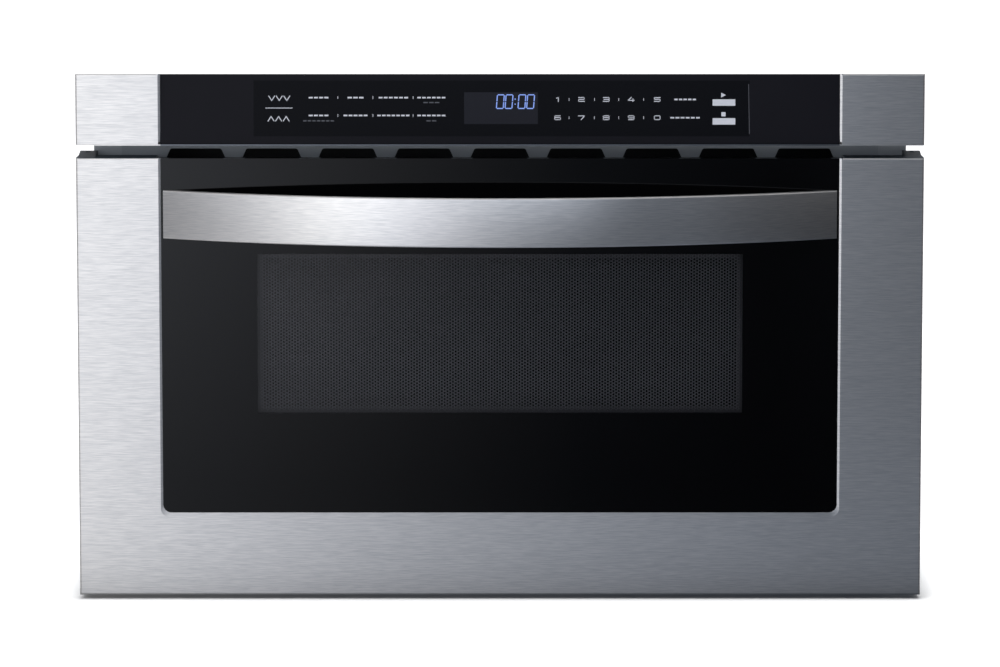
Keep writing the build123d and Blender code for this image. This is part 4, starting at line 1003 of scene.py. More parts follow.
@dataclass
class Studio:
    """Camera, floor, world, lamps and the graded card that polished metal and glass reflect.

    Attributes:
        lens: Focal length that goes with the distance.
        sensor: Width of the camera's sensor.
        distance: From the camera to the face.
        height: Elevation of the camera, in degrees.
        aim: Point at the picture's middle.
        floor_sides: Left, right, front and back edge of the floor.
        footprint: Middle of the object's footprint, and half its width and depth.
        fade: How far the shadow reaches round the footprint.
        fade_light: Light that whitens the floor beyond it.
        card_depth: How far the card runs on the floor, in front of the face.
        card_half: Half the card's width.
        card_reach: Half the width that its grading covers.
        card_top: Height of its upright part.
        card_gap: From the picture's middle forward to where its depth is counted from.
        card_level: Strength of its light away from the face.
        card_foot: Strength close to the face.
        lamps: Name, place, side and watts of each lamp.
    """

    lens: float = 175.75
    sensor: float = 36.0
    distance: float = 3500.0
    height: float = 6.8
    aim: Point = (0.0, -268.5, 192.95)
    floor_sides: Edges = (-9000.0, 9000.0, -6000.0, 12000.0)
    footprint: tuple[Point, Point] = ((0, 28.5, 0), (303, 297, 0))
    fade: float = 22.0
    fade_light: float = 0.75
    card_depth: float = 600.0
    card_half: float = 3200.0
    card_reach: float = 1600.0
    card_top: float = 900.0
    card_gap: float = 8.0
    card_level: float = 1.8
    card_foot: float = 0.4
    lamps: tuple[tuple[str, Point, float, float], ...] = (
        ("key_lamp", (-1900, -2300, 2300), 1800, 34), ("top_lamp", (300, -300, 2800), 2400, 36))

    def build(self) -> None:
        """Builds the whole studio."""
        scene = bpy.context.scene
        scene.view_settings.view_transform = "Standard"
        self.camera(scene)
        self.world(scene)
        self.floor()
        self.card()
        for lamp in self.lamps:
            self.lamp(*lamp)

    def camera(self, scene: bpy.types.Scene) -> None:
        """Sets the camera up at the photograph's angle.

        Args:
            scene: The scene that looks through it.
        """
        data = bpy.data.cameras.new("camera")
        data.lens = self.lens
        data.sensor_width = self.sensor
        data.clip_end = 100
        item = linked("camera", data)
        lift = math.radians(self.height)
        back = Vector((0, -math.cos(lift), math.sin(lift)))
        item.location = Vector(metres(*self.aim)) + back * self.distance / 1000
        item.rotation_euler = (-back).to_track_quat("-Z", "Y").to_euler()
        scene.camera = item

    def world(self, scene: bpy.types.Scene) -> None:
        """A white room to the camera; dimmer in front and to the right for light and reflections.

        Args:
            scene: The scene in that room.
        """
        world = bpy.data.worlds.new("room")
        tree = cleared(world)
        toward = add(tree, "ShaderNodeSeparateXYZ", {0: add(tree, "ShaderNodeTexCoord").outputs["Generated"]})
        wall = ramp(tree, ranged(tree, toward.outputs[0], (-1.0, 1.0)), ROOM_WALL)
        room = mixed(tree, ranged(tree, toward.outputs[2], (0.15, 0.8)), wall, linear("#f2f3f5"))
        dim = add(tree, "ShaderNodeBackground", {"Color": room, "Strength": 0.8})
        bright = add(tree, "ShaderNodeBackground", {"Color": linear("#ffffff"), "Strength": 1.0})
        add(tree, "ShaderNodeOutputWorld", {"Surface": self.seen(tree, dim, bright)})
        scene.world = world

    def seen(self, tree: Tree, other: Node, direct: Node) -> Socket:
        """A shader that looks otherwise to the camera than to light and reflections.

        Args:
            tree: Where it goes.
            other: What light and reflections meet.
            direct: What the camera sees.

        Returns:
            The shader's output.
        """
        path = add(tree, "ShaderNodeLightPath").outputs["Is Camera Ray"]
        both = {0: path, 1: other.outputs[0], 2: direct.outputs[0]}
        return add(tree, "ShaderNodeMixShader", both).outputs[0]

    def floor(self) -> None:
        """A pale floor that keeps the shadow close to the object."""
        corners = [(x, y, 0) for x, y in rectangle(*self.floor_sides)]
        item = mesh_object("studio_floor", corners, [(0, 1, 2, 3)])
        made = bpy.data.materials.new("floor_paper_white")
        tree = cleared(made)
        where = add(tree, "ShaderNodeTexCoord").outputs["Object"]
        paper = ramp(tree, noise(tree, where, 40.0), ((CALM, "#f4f4f4"), (STRONG, "#f7f7f7")))
        matt = add(tree, "ShaderNodeBsdfDiffuse", {"Color": paper})
        middle, half = (metres(*point) for point in self.footprint)
        folded = vector_math(tree, "ABSOLUTE", vector_math(tree, "SUBTRACT", where, middle))
        outside = vector_math(tree, "MAXIMUM", vector_math(tree, "SUBTRACT", folded, half), (0, 0, 0))
        away = vector_math(tree, "LENGTH", outside)
        far = ranged(tree, away, (0.0, self.fade / 1000), (0.0, self.fade_light))
        lift = add(tree, "ShaderNodeEmission", {"Color": linear("#ffffff"), "Strength": far})
        both = add(tree, "ShaderNodeAddShader", {0: matt.outputs[0], 1: lift.outputs[0]})
        add(tree, "ShaderNodeOutputMaterial", {"Surface": self.seen(tree, matt, both)})
        item.data.materials.append(made)

    def card(self) -> None:
        """A graded card on the floor and up in front of the face; only reflections see it."""
        near = self.aim[1] - self.card_gap
        far = near - self.card_depth
        line = ((near + 30, 1.0), (far + 60, 1.0), (far, 60.0), (far, self.card_top))
        points = [(x, y, z) for y, z in line for x in (-self.card_half, self.card_half)]
        faces = [(2 * i, 2 * i + 1, 2 * i + 3, 2 * i + 2) for i in range(len(line) - 1)]
        item = mesh_object("reflector_card", points, faces)
        made = bpy.data.materials.new("card_graded_grey")
        tree = cleared(made)
        where = add(tree, "ShaderNodeTexCoord").outputs["Object"]
        x, y, z = add(tree, "ShaderNodeSeparateXYZ", {0: where}).outputs
        reach = self.card_reach / 1000
        across = ranged(tree, x, (-reach, reach))
        shades = [ramp(tree, across, stops) for stops in (CARD_NEAR, CARD_HIGH, CARD_LOW)]
        # The far upright part has one grading below and one above; the part on the floor has its own.
        upright = mixed(tree, ranged(tree, z, (0.275, 0.4)), shades[0], shades[1])
        grade = mixed(tree, ranged(tree, y, (-0.66, -0.62)), upright, shades[2])
        rise = ranged(tree, z, (0.0, 0.25), (0.5, 1.0))
        foot = ranged(tree, y, (-0.34, -0.275), (self.card_level, self.card_foot))
        level = scalar_math(tree, "MULTIPLY", rise, foot)
        glow = add(tree, "ShaderNodeEmission", {"Color": grade, "Strength": level})
        add(tree, "ShaderNodeOutputMaterial", {"Surface": glow.outputs[0]})
        item.data.materials.append(made)
        item.visible_camera = item.visible_diffuse = item.visible_shadow = item.visible_transmission = False

    def lamp(self, name: str, at: Point, size: float, power: float) -> None:
        """A square soft lamp aimed at the object.

        Args:
            name: Its name.
            at: Its place, in millimetres.
            size: Its side.
            power: In watts.
        """
        data = bpy.data.lights.new(name, "AREA")
        data.size = size / 1000
        data.energy = power
        item = linked(name, data)
        item.location = metres(*at)
        item.rotation_euler = (Vector(metres(0, 0, 200)) - item.location).to_track_quat("-Z", "Y").to_euler()
        item.visible_glossy = False


# ---- Repeated pieces by Geometry Nodes --------------------------------------------------
UNTURNED: tuple[Point, ...] = ((0.0, 0.0, 0.0),)


class Repeater:
    """A Geometry Nodes tree that puts one shape on every point of a mesh, with named inputs."""

    def __init__(self, name: str) -> None:
        """Starts the tree with its geometry sockets.

        Args:
            name: Name of the tree.
        """
        self.tree = bpy.data.node_groups.new(name, "GeometryNodeTree")
        self.tree.interface.new_socket("Points", in_out="INPUT", socket_type="NodeSocketGeometry")
        self.tree.interface.new_socket("Geometry", in_out="OUTPUT", socket_type="NodeSocketGeometry")
        self.values: dict[str, object] = {}

    def value(self, name: str, kind: str, value: object) -> None:
        """Adds a named input.

        Args:
            name: Its name.
            kind: Its socket type without the prefix, such as Float.
            value: What this use sets it to.
        """
        socket = self.tree.interface.new_socket(name, in_out="INPUT", socket_type="NodeSocket" + kind)
        self.values[socket.identifier] = value

    def inputs(self) -> Node:
        """Ends the naming of values.

        Returns:
            The group's input node.
        """
        return add(self.tree, "NodeGroupInput")

    def run(self, name: str, points: Sequence[Point], shape: Socket, start: Node, finish: Finish,
            turns: Sequence[Point] = UNTURNED) -> Item:
        """Puts the shape on the points and makes the result a plain mesh.

        Args:
            name: Name of the object.
            points: Places, in millimetres.
            shape: Geometry of one item, about its own origin.
            start: The group's input node.
            finish: Material for all of it.
            turns: Rotation of each item, used over again where there are fewer than points.

        Returns:
            The object with its mesh.
        """
        seeds = bpy.data.meshes.new(name + "_points")
        seeds.from_pydata([metres(*p) for p in points], [], [])
        turn = seeds.attributes.new("turn", "FLOAT_VECTOR", "POINT")
        for i in range(len(points)):
            turn.data[i].vector = turns[i % len(turns)]
        carrier = linked(name + "_points", seeds)
        held = add(self.tree, "GeometryNodeInputNamedAttribute", {"Name": "turn"}, data_type="FLOAT_VECTOR")
        rotation = add(self.tree, "FunctionNodeEulerToRotation", {0: held.outputs[0]})
        placed = add(self.tree, "GeometryNodeInstanceOnPoints",
                     {"Points": start.outputs["Points"], "Instance": shape, "Rotation": rotation.outputs[0]})
        real = add(self.tree, "GeometryNodeRealizeInstances", {0: placed.outputs[0]})
        coat = {0: real.outputs[0], "Material": finish.material()}
        coated = add(self.tree, "GeometryNodeSetMaterial", coat)
        add(self.tree, "NodeGroupOutput", {"Geometry": coated.outputs[0]})
        modifier = carrier.modifiers.new("repeat", "NODES")
        modifier.node_group = self.tree
        for identifier, value in self.values.items():
            modifier[identifier] = value
        bpy.context.view_layer.update()
        evaluated = carrier.evaluated_get(bpy.context.evaluated_depsgraph_get())
        mesh = bpy.data.meshes.new_from_object(evaluated)
        carrier.modifiers.remove(modifier)
        bpy.data.objects.remove(carrier)
        mesh.name = name
        return linked(name, mesh)

    def copies(self, name: str, shape: Solid, points: Sequence[Point], finish: Finish,
               turns: Sequence[Point] = UNTURNED, smooth: bool = False) -> Item:
        """Puts a modelled shape on the points.

        Args:
            name: Name of the object.
            shape: Corners and faces of one item, about its own origin.
            points: Places, in millimetres.
            finish: Material for all of it.
            turns: Rotation of each item.
            smooth: True for smooth shading.

        Returns:
            The object with its mesh.
        """
        one = mesh_object(name + "_one", *shape, smooth)
        self.value("Shape", "Object", one)
        start = self.inputs()
        held = add(self.tree, "GeometryNodeObjectInfo", {"Object": start.outputs["Shape"]})
        made = self.run(name, points, held.outputs["Geometry"], start, finish, turns)
        bpy.data.objects.remove(one)
        return made


class Facing(Enum):
    """Which way a screw's head looks, as the turn that brings +Z there."""

    BACK = (-math.pi / 2, 0.0, 0.0)
    UP = (0.0, 0.0, 0.0)


@dataclass
class FlangedScrews:
    """Hex-head sheet screws with a pressed washer face and their shanks.

    Attributes:
        across: Across the hexagon's corners.
        head: Height of the head above the sheet.
        washer: Diameter of the washer face.
        washer_height: Of the washer face.
        shank: Diameter of the shank.
        length: Of the shank.
    """

    across: float = 6.2
    head: float = 1.55
    washer: float = 7.9
    washer_height: float = 0.5
    shank: float = 3.0
    length: float = 4.9

    def build(self, name: str, places: Sequence[Point], facing: Facing) -> Item:
        """Builds one row of screws.

        Args:
            name: Name of the object.
            places: Where each head meets its sheet.
            facing: Which way the heads look.

        Returns:
            The object.
        """
        rows = Repeater(name)
        shapes = (("Washer", 16, self.washer, self.washer_height), ("Head", 6, self.across, self.head),
                  ("Shank", 8, self.shank, -self.length))
        for label, _, wide, tall in shapes:
            rows.value(label + " Radius", "Float", wide / 2000)
            rows.value(label + " Height", "Float", tall / 1000)
        start = rows.inputs()
        tree = rows.tree
        solids = []
        for label, corners, _, _ in shapes:
            tall = start.outputs[label + " Height"]
            radius = start.outputs[label + " Radius"]
            size = scalar_math(tree, "ABSOLUTE", tall)
            measures = {"Vertices": corners, "Radius": radius, "Depth": size}
            solid = add(tree, "GeometryNodeMeshCylinder", measures)
            lift = add(tree, "ShaderNodeCombineXYZ", {"Z": scalar_math(tree, "MULTIPLY", tall, 0.5)})
            place = {"Geometry": solid.outputs[0], "Translation": lift.outputs[0]}
            solids.append(add(tree, "GeometryNodeTransform", place).outputs[0])
        both = add(tree, "GeometryNodeJoinGeometry")
        for solid in solids:
            tree.links.new(solid, both.inputs[0])
        return rows.run(name, places, both.outputs[0], start, ZINC, (facing.value,))


# ---- Sub-assemblies ---------------------------------------------------------------------
@dataclass
class Chassis:
    """Sheet-metal case with its flange, grille, duct, cord gland and screws.

    Attributes:
        screw_x: Of both columns of screws.
        top: Height of the top cover, and the Y of its screws.
        rear: Y of the rear panel, and the heights of its screws.
    """

    screw_x: float = 269.8
    top: tuple[float, tuple[float, ...]] = (340.0, (-194.856, 42.15, 279.156))
    rear: tuple[float, tuple[float, ...]] = (325.5, (40.0, 170.0, 300.0))

    def build(self) -> None:
        """Dresses the case and drives its screws."""
        dress(GALVANISED, "base_plate", "side_panel_left", "side_panel_right", "rear_panel", "top_cover")
        dress(FRAME_SHEET, "front_frame")
        dress(GRILLE_SHEET, "vent_grille")
        # The duct's near-black sheet is painted shade: its openings look dark.
        dress(SHADE_BLACK_SHEET, "exhaust_duct")
        dress(RUBBER, "cord_gland")
        columns = (-self.screw_x, self.screw_x)
        above = [(x, y, self.top[0]) for x in columns for y in self.top[1]]
        behind = [(x, self.rear[0], z) for x in columns for z in self.rear[1]]
        rows = (("top_cover_screws", above, Facing.UP), ("rear_panel_screws", behind, Facing.BACK))
        for name, places, facing in rows:
            piece(FlangedScrews().build(name, places, facing), ZINC, "chassis", "chassis_screws")


class Shape(Enum):
    """Small signs drawn in place of words."""

    DASHES = "dashes"
    OUTWARD = "arrows towards the user"
    INWARD = "arrows into the case"
    START = "triangle"
    STOP = "square"


# Each digit as lines in a square of side 1, from its lower left corner.
DIGITS: dict[str, list[list[Flat]]] = {
    "0": [[(.14, 0), (.86, 0), (1, .2), (1, .8), (.86, 1), (.14, 1), (0, .8), (0, .2), (.14, 0)]],
    "1": [[(.3, .86), (.62, 1), (.62, 0)]],
    "2": [[(0, 1), (.9, 1), (1, .85), (1, .64), (.9, .5), (.1, .5), (0, .36), (0, 0), (1, 0)]],
    "3": [[(0, 1), (.9, 1), (1, .85), (1, .15), (.9, 0), (0, 0)], [(.12, .5), (.98, .5)]],
    "4": [[(.5, 1), (0, .34), (0, .26), (1, .26)], [(.8, .62), (.8, 0)]],
    "5": [[(1, 1), (0, 1), (0, .55), (.9, .55), (1, .42), (1, .14), (.9, 0), (0, 0)]],
    "6": [[(.94, 1), (.14, 1), (0, .82), (0, .16), (.14, 0), (.88, 0), (1, .15), (1, .42), (.9, .55),
           (0, .55)]],
    "7": [[(0, 1), (1, 1), (1, .9), (.46, 0)]],
    "8": [[(.1, 0), (.9, 0), (1, .15), (1, .85), (.9, 1), (.1, 1), (0, .85), (0, .15), (.1, 0)],
          [(0, .52), (1, .52)]],
    "9": [[(.06, 0), (.86, 0), (1, .18), (1, .84), (.86, 1), (.12, 1), (0, .85), (0, .58), (.1, .45),
           (1, .45)]],
}


@dataclass
class ControlPanel:
    """Leaning touch panel between two steel posts, with printed signs and a lit clock.

    Attributes:
        low: Y of the glass's front at its foot, and the foot's height.
        high: The same at its head.
        ink: Height of the print.
        drop: How far the whole print sits below its drawn places.
        stroke: Width of a printed line.
        digit: Width and height of a printed digit.
        dash: Pitch of the dashes, and the gap between two.
        arrow: Pitch of the arrows, and half the width of one.
        bar: Half the width and half the height of a separator.
        moves: Both signs for opening and closing: shape, x and z.
        moves_size: Width and height of such a sign.
        moves_line: Ends of the line between them.
        label_x: Middles of the labels in a row.
        label_rows: Height of each row of labels, and its labels' widths.
        label_bars: Separators in such a row.
        small_labels: Middle and width of each small label.
        key_x: Middles of the digits in a row.
        key_rows: Height of each row, its digits, and the width of the label at its end.
        key_label: Middle of that label.
        key_bars: Separators in such a row.
        start_stop: Both signs for start and stop: shape, z and size.
        start_stop_x: Their middle.
        start_stop_bars: Edges of the bar below each.
        side_line: Ends of the line at the right of the touch field.
        thin: Width of the line between the signs, and of the side line.
        field: Edges of the touch field.
        display: Edges of the display's window.
        clock: Edges of the clock.
        clock_lean: Its lean to the right, per height.
        clock_line: Width of a segment, and how much shorter it is at each end.
        clock_gap: Between two digits.
        colon: Room for the colon.
        dot: Of each of its dots: left edge in that room, width, half the height, distance from the middle.
    """

    low: Flat = (-267.249, 328.8)
    high: Flat = (-264.043, 378.833)
    ink: float = 0.04
    drop: float = 0.45
    stroke: float = 0.62
    digit: Flat = (4.7, 3.3)
    dash: Flat = (3.3, 0.9)
    arrow: Flat = (5.4, 2.1)
    bar: Flat = (0.2, 1.0)
    moves: tuple[tuple[Shape, float, float], ...] = (
        (Shape.OUTWARD, -157.5, 362.0), (Shape.INWARD, -158.0, 347.5))
    moves_size: Flat = (15.0, 3.2)
    moves_line: tuple[Flat, Flat] = ((-167.2, 355.1), (-148.3, 355.1))
    label_x: tuple[float, ...] = (-129.5, -103.1, -76.1, -49.0)
    label_rows: tuple[tuple[float, tuple[float, ...]], ...] = (
        (362.5, (14.0, 11.4, 21.0, 20.0)), (349.8, (14.0, 17.0, 23.0, 20.0)))
    label_bars: tuple[float, ...] = (-115.7, -90.7, -62.0)
    small_labels: tuple[Point, ...] = ((-129.5, 346.0, 22.0), (-49.0, 359.0, 11.4), (-49.0, 346.0, 7.0))
    key_x: tuple[float, ...] = (41.1, 58.1, 75.8, 93.6, 112.2)
    key_rows: tuple[tuple[float, str, float], ...] = ((361.2, "12345", 15.5), (348.2, "67890", 21.0))
    key_label: float = 132.1
    key_bars: tuple[float, ...] = (49.3, 67.4, 84.7, 102.5)
    start_stop: tuple[tuple[Shape, float, float], ...] = ((Shape.START, 364.3, 3.4), (Shape.STOP, 350.7, 3.0))
    start_stop_x: float = 159.5
    start_stop_bars: tuple[Edges, ...] = ((151.7, 167.9, 356.7, 361.3), (151.7, 167.9, 343.3, 347.9))
    side_line: tuple[Flat, Flat] = ((178.0, 336.8), (177.4, 371.8))
    thin: Flat = (0.5, 0.45)
    field: Edges = (-175.9, 178.1, 335.0, 374.7)
    display: Edges = (-25.6, 27.0, 343.7, 366.3)
    clock: Edges = (-2.6, 25.2, 354.8, 364.5)
    clock_lean: float = 0.08
    clock_line: Flat = (0.75, 0.65)
    clock_gap: float = 1.3
    colon: float = 3.0
    dot: tuple[float, float, float, float] = (0.6, 0.8, 0.4, 1.8)

    def on_glass(self, lift: float) -> Place:
        """A rule that puts (x, z, height) on the leaning glass.

        Args:
            lift: How far above the glass the height starts.

        Returns:
            The rule.
        """
        def place(x: float, z: float, depth: float) -> Point:
            """One point on the glass.

            Args:
                x: Its place across.
                z: Its drawn height.
                depth: How far it stands off.

            Returns:
                The point.
            """
            share = (z - self.drop - self.low[1]) / (self.high[1] - self.low[1])
            return x, self.low[0] + share * (self.high[0] - self.low[0]) - lift - depth, z - self.drop
        return place

    def print_of(self, outline: Sequence[Flat], lift: float) -> Solid:
        """A printed area.

        Args:
            outline: Its outline in x and z.
            lift: Height of what it is printed on.

        Returns:
            Points and faces.
        """
        return prism(outline, 0.0, self.ink, self.on_glass(lift))

    def line(self, points: Sequence[Flat], width: float, lift: float) -> list[Solid]:
        """A printed line of straight runs, each carried on by half a width so that the corners close.

        Args:
            points: Its corners in x and z.
            width: Its width.
            lift: Height of what it is printed on.

        Returns:
            Points and faces of each run.
        """
        runs = []
        for (ax, az), (bx, bz) in zip(points, points[1:]):
            length = math.hypot(bx - ax, bz - az)
            ux, uz = (bx - ax) / length * width / 2, (bz - az) / length * width / 2
            runs.append(self.print_of([(ax - ux + uz, az - uz - ux), (bx + ux + uz, bz + uz - ux),
                                       (bx + ux - uz, bz + uz + ux), (ax - ux - uz, az - uz + ux)], lift))
        return runs

    def number(self, sign: str, x: float, z: float) -> list[Solid]:
        """One printed digit.

        Args:
            sign: The digit.
            x: Its middle.
            z: Its middle.

        Returns:
            Points and faces of each run.
        """
        wide, tall = self.digit[0] - self.stroke, self.digit[1] - self.stroke
        spots = [[(x + (u - 0.5) * wide, z + (v - 0.5) * tall) for u, v in run] for run in DIGITS[sign]]
        return [run for line in spots for run in self.line(line, self.stroke, self.ink)]

    def sign(self, shape: Shape, x: float, z: float, width: float, height: float = 1.1) -> list[Solid]:
        """One sign that stands in for a word.

        Args:
            shape: Which sign.
            x: Its middle.
            z: Its middle.
            width: Its whole width.
            height: Its whole height.

        Returns:
            Points and faces.
        """
        half = height / 2
        if shape is Shape.DASHES:
            pitch, gap = self.dash
            count = max(2, round(width / pitch))
            step = (width + gap) / count
            starts = [x - width / 2 + i * step for i in range(count)]
            return [self.print_of(rectangle(a, a + step - gap, z - half, z + half), self.ink) for a in starts]
        if shape in (Shape.OUTWARD, Shape.INWARD):
            tip = -half if shape is Shape.OUTWARD else half
            pitch, wing = self.arrow
            middles = [x + i * pitch for i in (-1, 0, 1)]
            arrows = [[(at - wing, z - tip), (at, z + tip), (at + wing, z - tip)] for at in middles]
            return [run for arrow in arrows for run in self.line(arrow, self.stroke, self.ink)]
        if shape is Shape.START:
            return [self.print_of([(x - half, z - half), (x + half, z), (x - half, z + half)], self.ink)]
        return [self.print_of(rectangle(x - half, x + half, z - half, z + half), self.ink)]

    def bars(self, xs: Sequence[float], z: float) -> list[Solid]:
        """Small upright separators.

        Args:
            xs: Their places.
            z: Their middle.

        Returns:
            Points and faces of each.
        """
        half, tall = self.bar
        return [self.print_of(rectangle(x - half, x + half, z - tall, z + tall), self.ink) for x in xs]

    def bright_marks(self) -> list[Solid]:
        """All signs, digits and separators in white ink.

        Returns:
            Points and faces of each.
        """
        marks = [run for shape, x, z in self.moves for run in self.sign(shape, x, z, *self.moves_size)]
        marks += self.line(self.moves_line, self.thin[0], self.ink)
        for z, widths in self.label_rows:
            for x, width in zip(self.label_x, widths):
                marks += self.sign(Shape.DASHES, x, z, width)
            marks += self.bars(self.label_bars, z)
        for z, numbers, width in self.key_rows:
            for x, number in zip(self.key_x, numbers):
                marks += self.number(number, x, z)
            marks += self.sign(Shape.DASHES, self.key_label, z, width)
            marks += self.bars(self.key_bars, z)
        for shape, z, size in self.start_stop:
            marks += self.sign(shape, self.start_stop_x, z, size, size)
        return marks + [self.print_of(rectangle(*edges), self.ink) for edges in self.start_stop_bars]

    def small_marks(self) -> list[Solid]:
        """Thin signs under some labels, and the line at the right of the touch field.

        Returns:
            Points and faces of each.
        """
        signs = [self.sign(Shape.DASHES, x, z, width, 0.9) for x, z, width in self.small_labels]
        return [run for sign in signs for run in sign] + self.line(self.side_line, self.thin[1], self.ink)

    def segments(self) -> list[Solid]:
        """The clock: four seven-segment digits and a colon, all showing 00:00.

        Returns:
            Points and faces of each segment and dot.
        """
        left, right, low, high = self.clock
        (thick, cut), lift = self.clock_line, 2 * self.ink
        wide, mid = (right - left - self.colon) / 4 - self.clock_gap, (low + high) / 2
        runs = []
        for i in range(4):
            x = left + i * (wide + self.clock_gap) + (self.colon if i > 1 else 0.0)
            end = x + wide
            corners = [(x, low), (x, mid), (x, high), (end, high), (end, mid), (end, low), (x, low)]
            for (ax, az), (bx, bz) in zip(corners, corners[1:]):
                dx, dz = (bx > ax) - (bx < ax), (bz > az) - (bz < az)
                runs.append([(ax + dx * cut, az + dz * cut), (bx - dx * cut, bz - dz * cut)])
        lean = [[(x + (z - low) * self.clock_lean, z) for x, z in run] for run in runs]
        made = [run for line in lean for run in self.line(line, thick, lift)]
        inset, width, half, off = self.dot
        x = left + 2 * (wide + self.clock_gap) + inset
        dots = [rectangle(x, x + width, z - half, z + half) for z in (mid - off, mid + off)]
        return made + [self.print_of(dot, lift) for dot in dots]

    def build(self) -> None:
        """Builds the panel."""
        dress(PANEL_STEEL, "control_panel_trim")
        dress(BLACK_ABS, "control_housing")
        dress(BOARD, "control_board")
        dress(TOUCH_GLASS, "control_glass")
        for name, parts, finish in (
            ("touch_field", [self.print_of(rectangle(*self.field), 0.0)], TOUCH_FIELD),
            ("display_window", [self.print_of(rectangle(*self.display), self.ink)], DISPLAY_FILTER),
            ("keypad_marks", self.bright_marks(), MARK_INK),
            ("keypad_small_marks", self.small_marks(), FAINT_INK),
            ("clock_segments", self.segments(), SEGMENT),
        ):
            piece(mesh_object(name, *joined(parts)), finish, "chassis")


@dataclass
class DrawerFront:
    """Steel U-frame with the black glass, its clear window and the perforated screen behind.

    Attributes:
        window: Edges of the clear window.
        glass_y: Front and back of the glass.
        screen_y: Front of the perforated screen.
        screen_edges: Edges of the screen.
        rim_y: Front and back of its plain rim, counted from the screen's front.
        margin: Between the window's edge and the first holes.
        pitch: Between the rows of holes in one column.
        hole: Across the flats of a hole.
        carrier_back: Y of the carrier's rear edge, where its screws seat.
        screw_x: Of both columns of these screws.
        screw_z: Heights of the screws in a column.
    """

    window: Edges = (-174.0, 174.0, 135.0, 250.0)
    glass_y: Flat = (-266.0, -262.0)
    screen_y: float = -258.45
    screen_edges: Edges = (-180.0, 180.0, 129.0, 256.0)
    rim_y: Flat = (0.05, 0.4)
    margin: float = 2.2
    pitch: float = 2.3
    hole: float = 1.5
    carrier_back: float = -244.5
    screw_x: float = 282.8
    screw_z: tuple[float, ...] = (85.0, 130.0, 175.0, 275.0)

    def glass(self) -> None:
        """Builds the inked border and the tinted pane in one plane."""
        lo, hi = (tuple(1000 * c for c in corner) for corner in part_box("door_glass"))
        left, right, low, high = self.window
        border = bordered((lo[0], left, right, hi[0]), (lo[2], low, high, hi[2]), *self.glass_y)
        pane = prism(rectangle(*self.window), *self.glass_y, along_y)
        piece(mesh_object("door_glass_border", *border), DOOR_GLASS, "drawer", "door_glass")
        piece(mesh_object("door_glass_window", *pane), WINDOW_GLASS, "drawer", "door_glass")

    def screen(self) -> None:
        """Builds the perforated screen: a plain rim and a field of six-sided holes."""
        left, right = self.window[0] + self.margin, self.window[1] - self.margin
        low, high = self.window[2] + self.margin, self.window[3] - self.margin
        step, middle = self.pitch * math.sqrt(3) / 2, (low + high) / 2
        columns, rows = int((right - left) / 2 / step), int((high - low) / 2 / self.pitch)
        points = [(i * step, self.screen_y, middle + (j + 0.5 * (i % 2)) * self.pitch)
                  for i in range(-columns, columns + 1) for j in range(-rows, rows + 1)]
        field = Repeater("perforation")
        field.value("Cell Radius", "Float", self.pitch / math.sqrt(3) / 1000)
        field.value("Hole Share", "Float", self.hole / self.pitch)
        start = field.inputs()
        tree = field.tree
        cell = add(tree, "GeometryNodeMeshCircle", {"Vertices": 6, "Radius": start.outputs["Cell Radius"]},
                   fill_type="NGON")
        raised = add(tree, "GeometryNodeExtrudeMesh", {"Mesh": cell.outputs[0], "Offset Scale": 0.0},
                     mode="FACES")
        top = raised.outputs["Top"]
        inner = add(tree, "GeometryNodeScaleElements", {"Geometry": raised.outputs[0], "Selection": top,
                                                        "Scale": start.outputs["Hole Share"]})
        rest = add(tree, "GeometryNodeDeleteGeometry", {"Geometry": inner.outputs[0], "Selection": top},
                   domain="FACE")
        upright = ((math.pi / 2, 0.0, 0.0),)
        holes = field.run("screen_field", points, rest.outputs[0], start, SCREEN_PAINT, upright)
        # The rim starts inside the outermost cells, so that no gap shows between them.
        reach_x, reach_z = (columns - 0.3) * step, (rows - 0.6) * self.pitch
        edges = self.screen_edges
        xs = (edges[0], -reach_x, reach_x, edges[1])
        zs = (edges[2], middle - reach_z, middle + reach_z, edges[3])
        rim = bordered(xs, zs, self.screen_y + self.rim_y[0], self.screen_y + self.rim_y[1])
        piece(holes, SCREEN_PAINT, "drawer", "door_screen")
        piece(mesh_object("screen_rim", *rim), RIM_PAINT, "drawer", "door_screen")

    def build(self) -> None:
        """Builds the front."""
        self.glass()
        self.screen()
        dress(STEEL, "front_trim")
        dress(BLACK_ABS, "front_carrier")
        # The choke panel's near-black sheet is painted shade behind the screen's holes.
        dress(SHADE_BLACK_SHEET, "choke_panel")
        dress(GREY_ABS, "choke_cover")
        # The inner pane's dark tone is painted shade behind the screen's holes.
        dress(INNER_GLASS_PAINTED_SHADE, "inner_window")
        dress(CAP_PLASTIC, "corner_caps")
        places = [(x, self.carrier_back, z) for x in (-self.screw_x, self.screw_x) for z in self.screw_z]
        piece(FlangedScrews().build("carrier_screws", places, Facing.BACK), ZINC, "drawer", "drawer_screws")


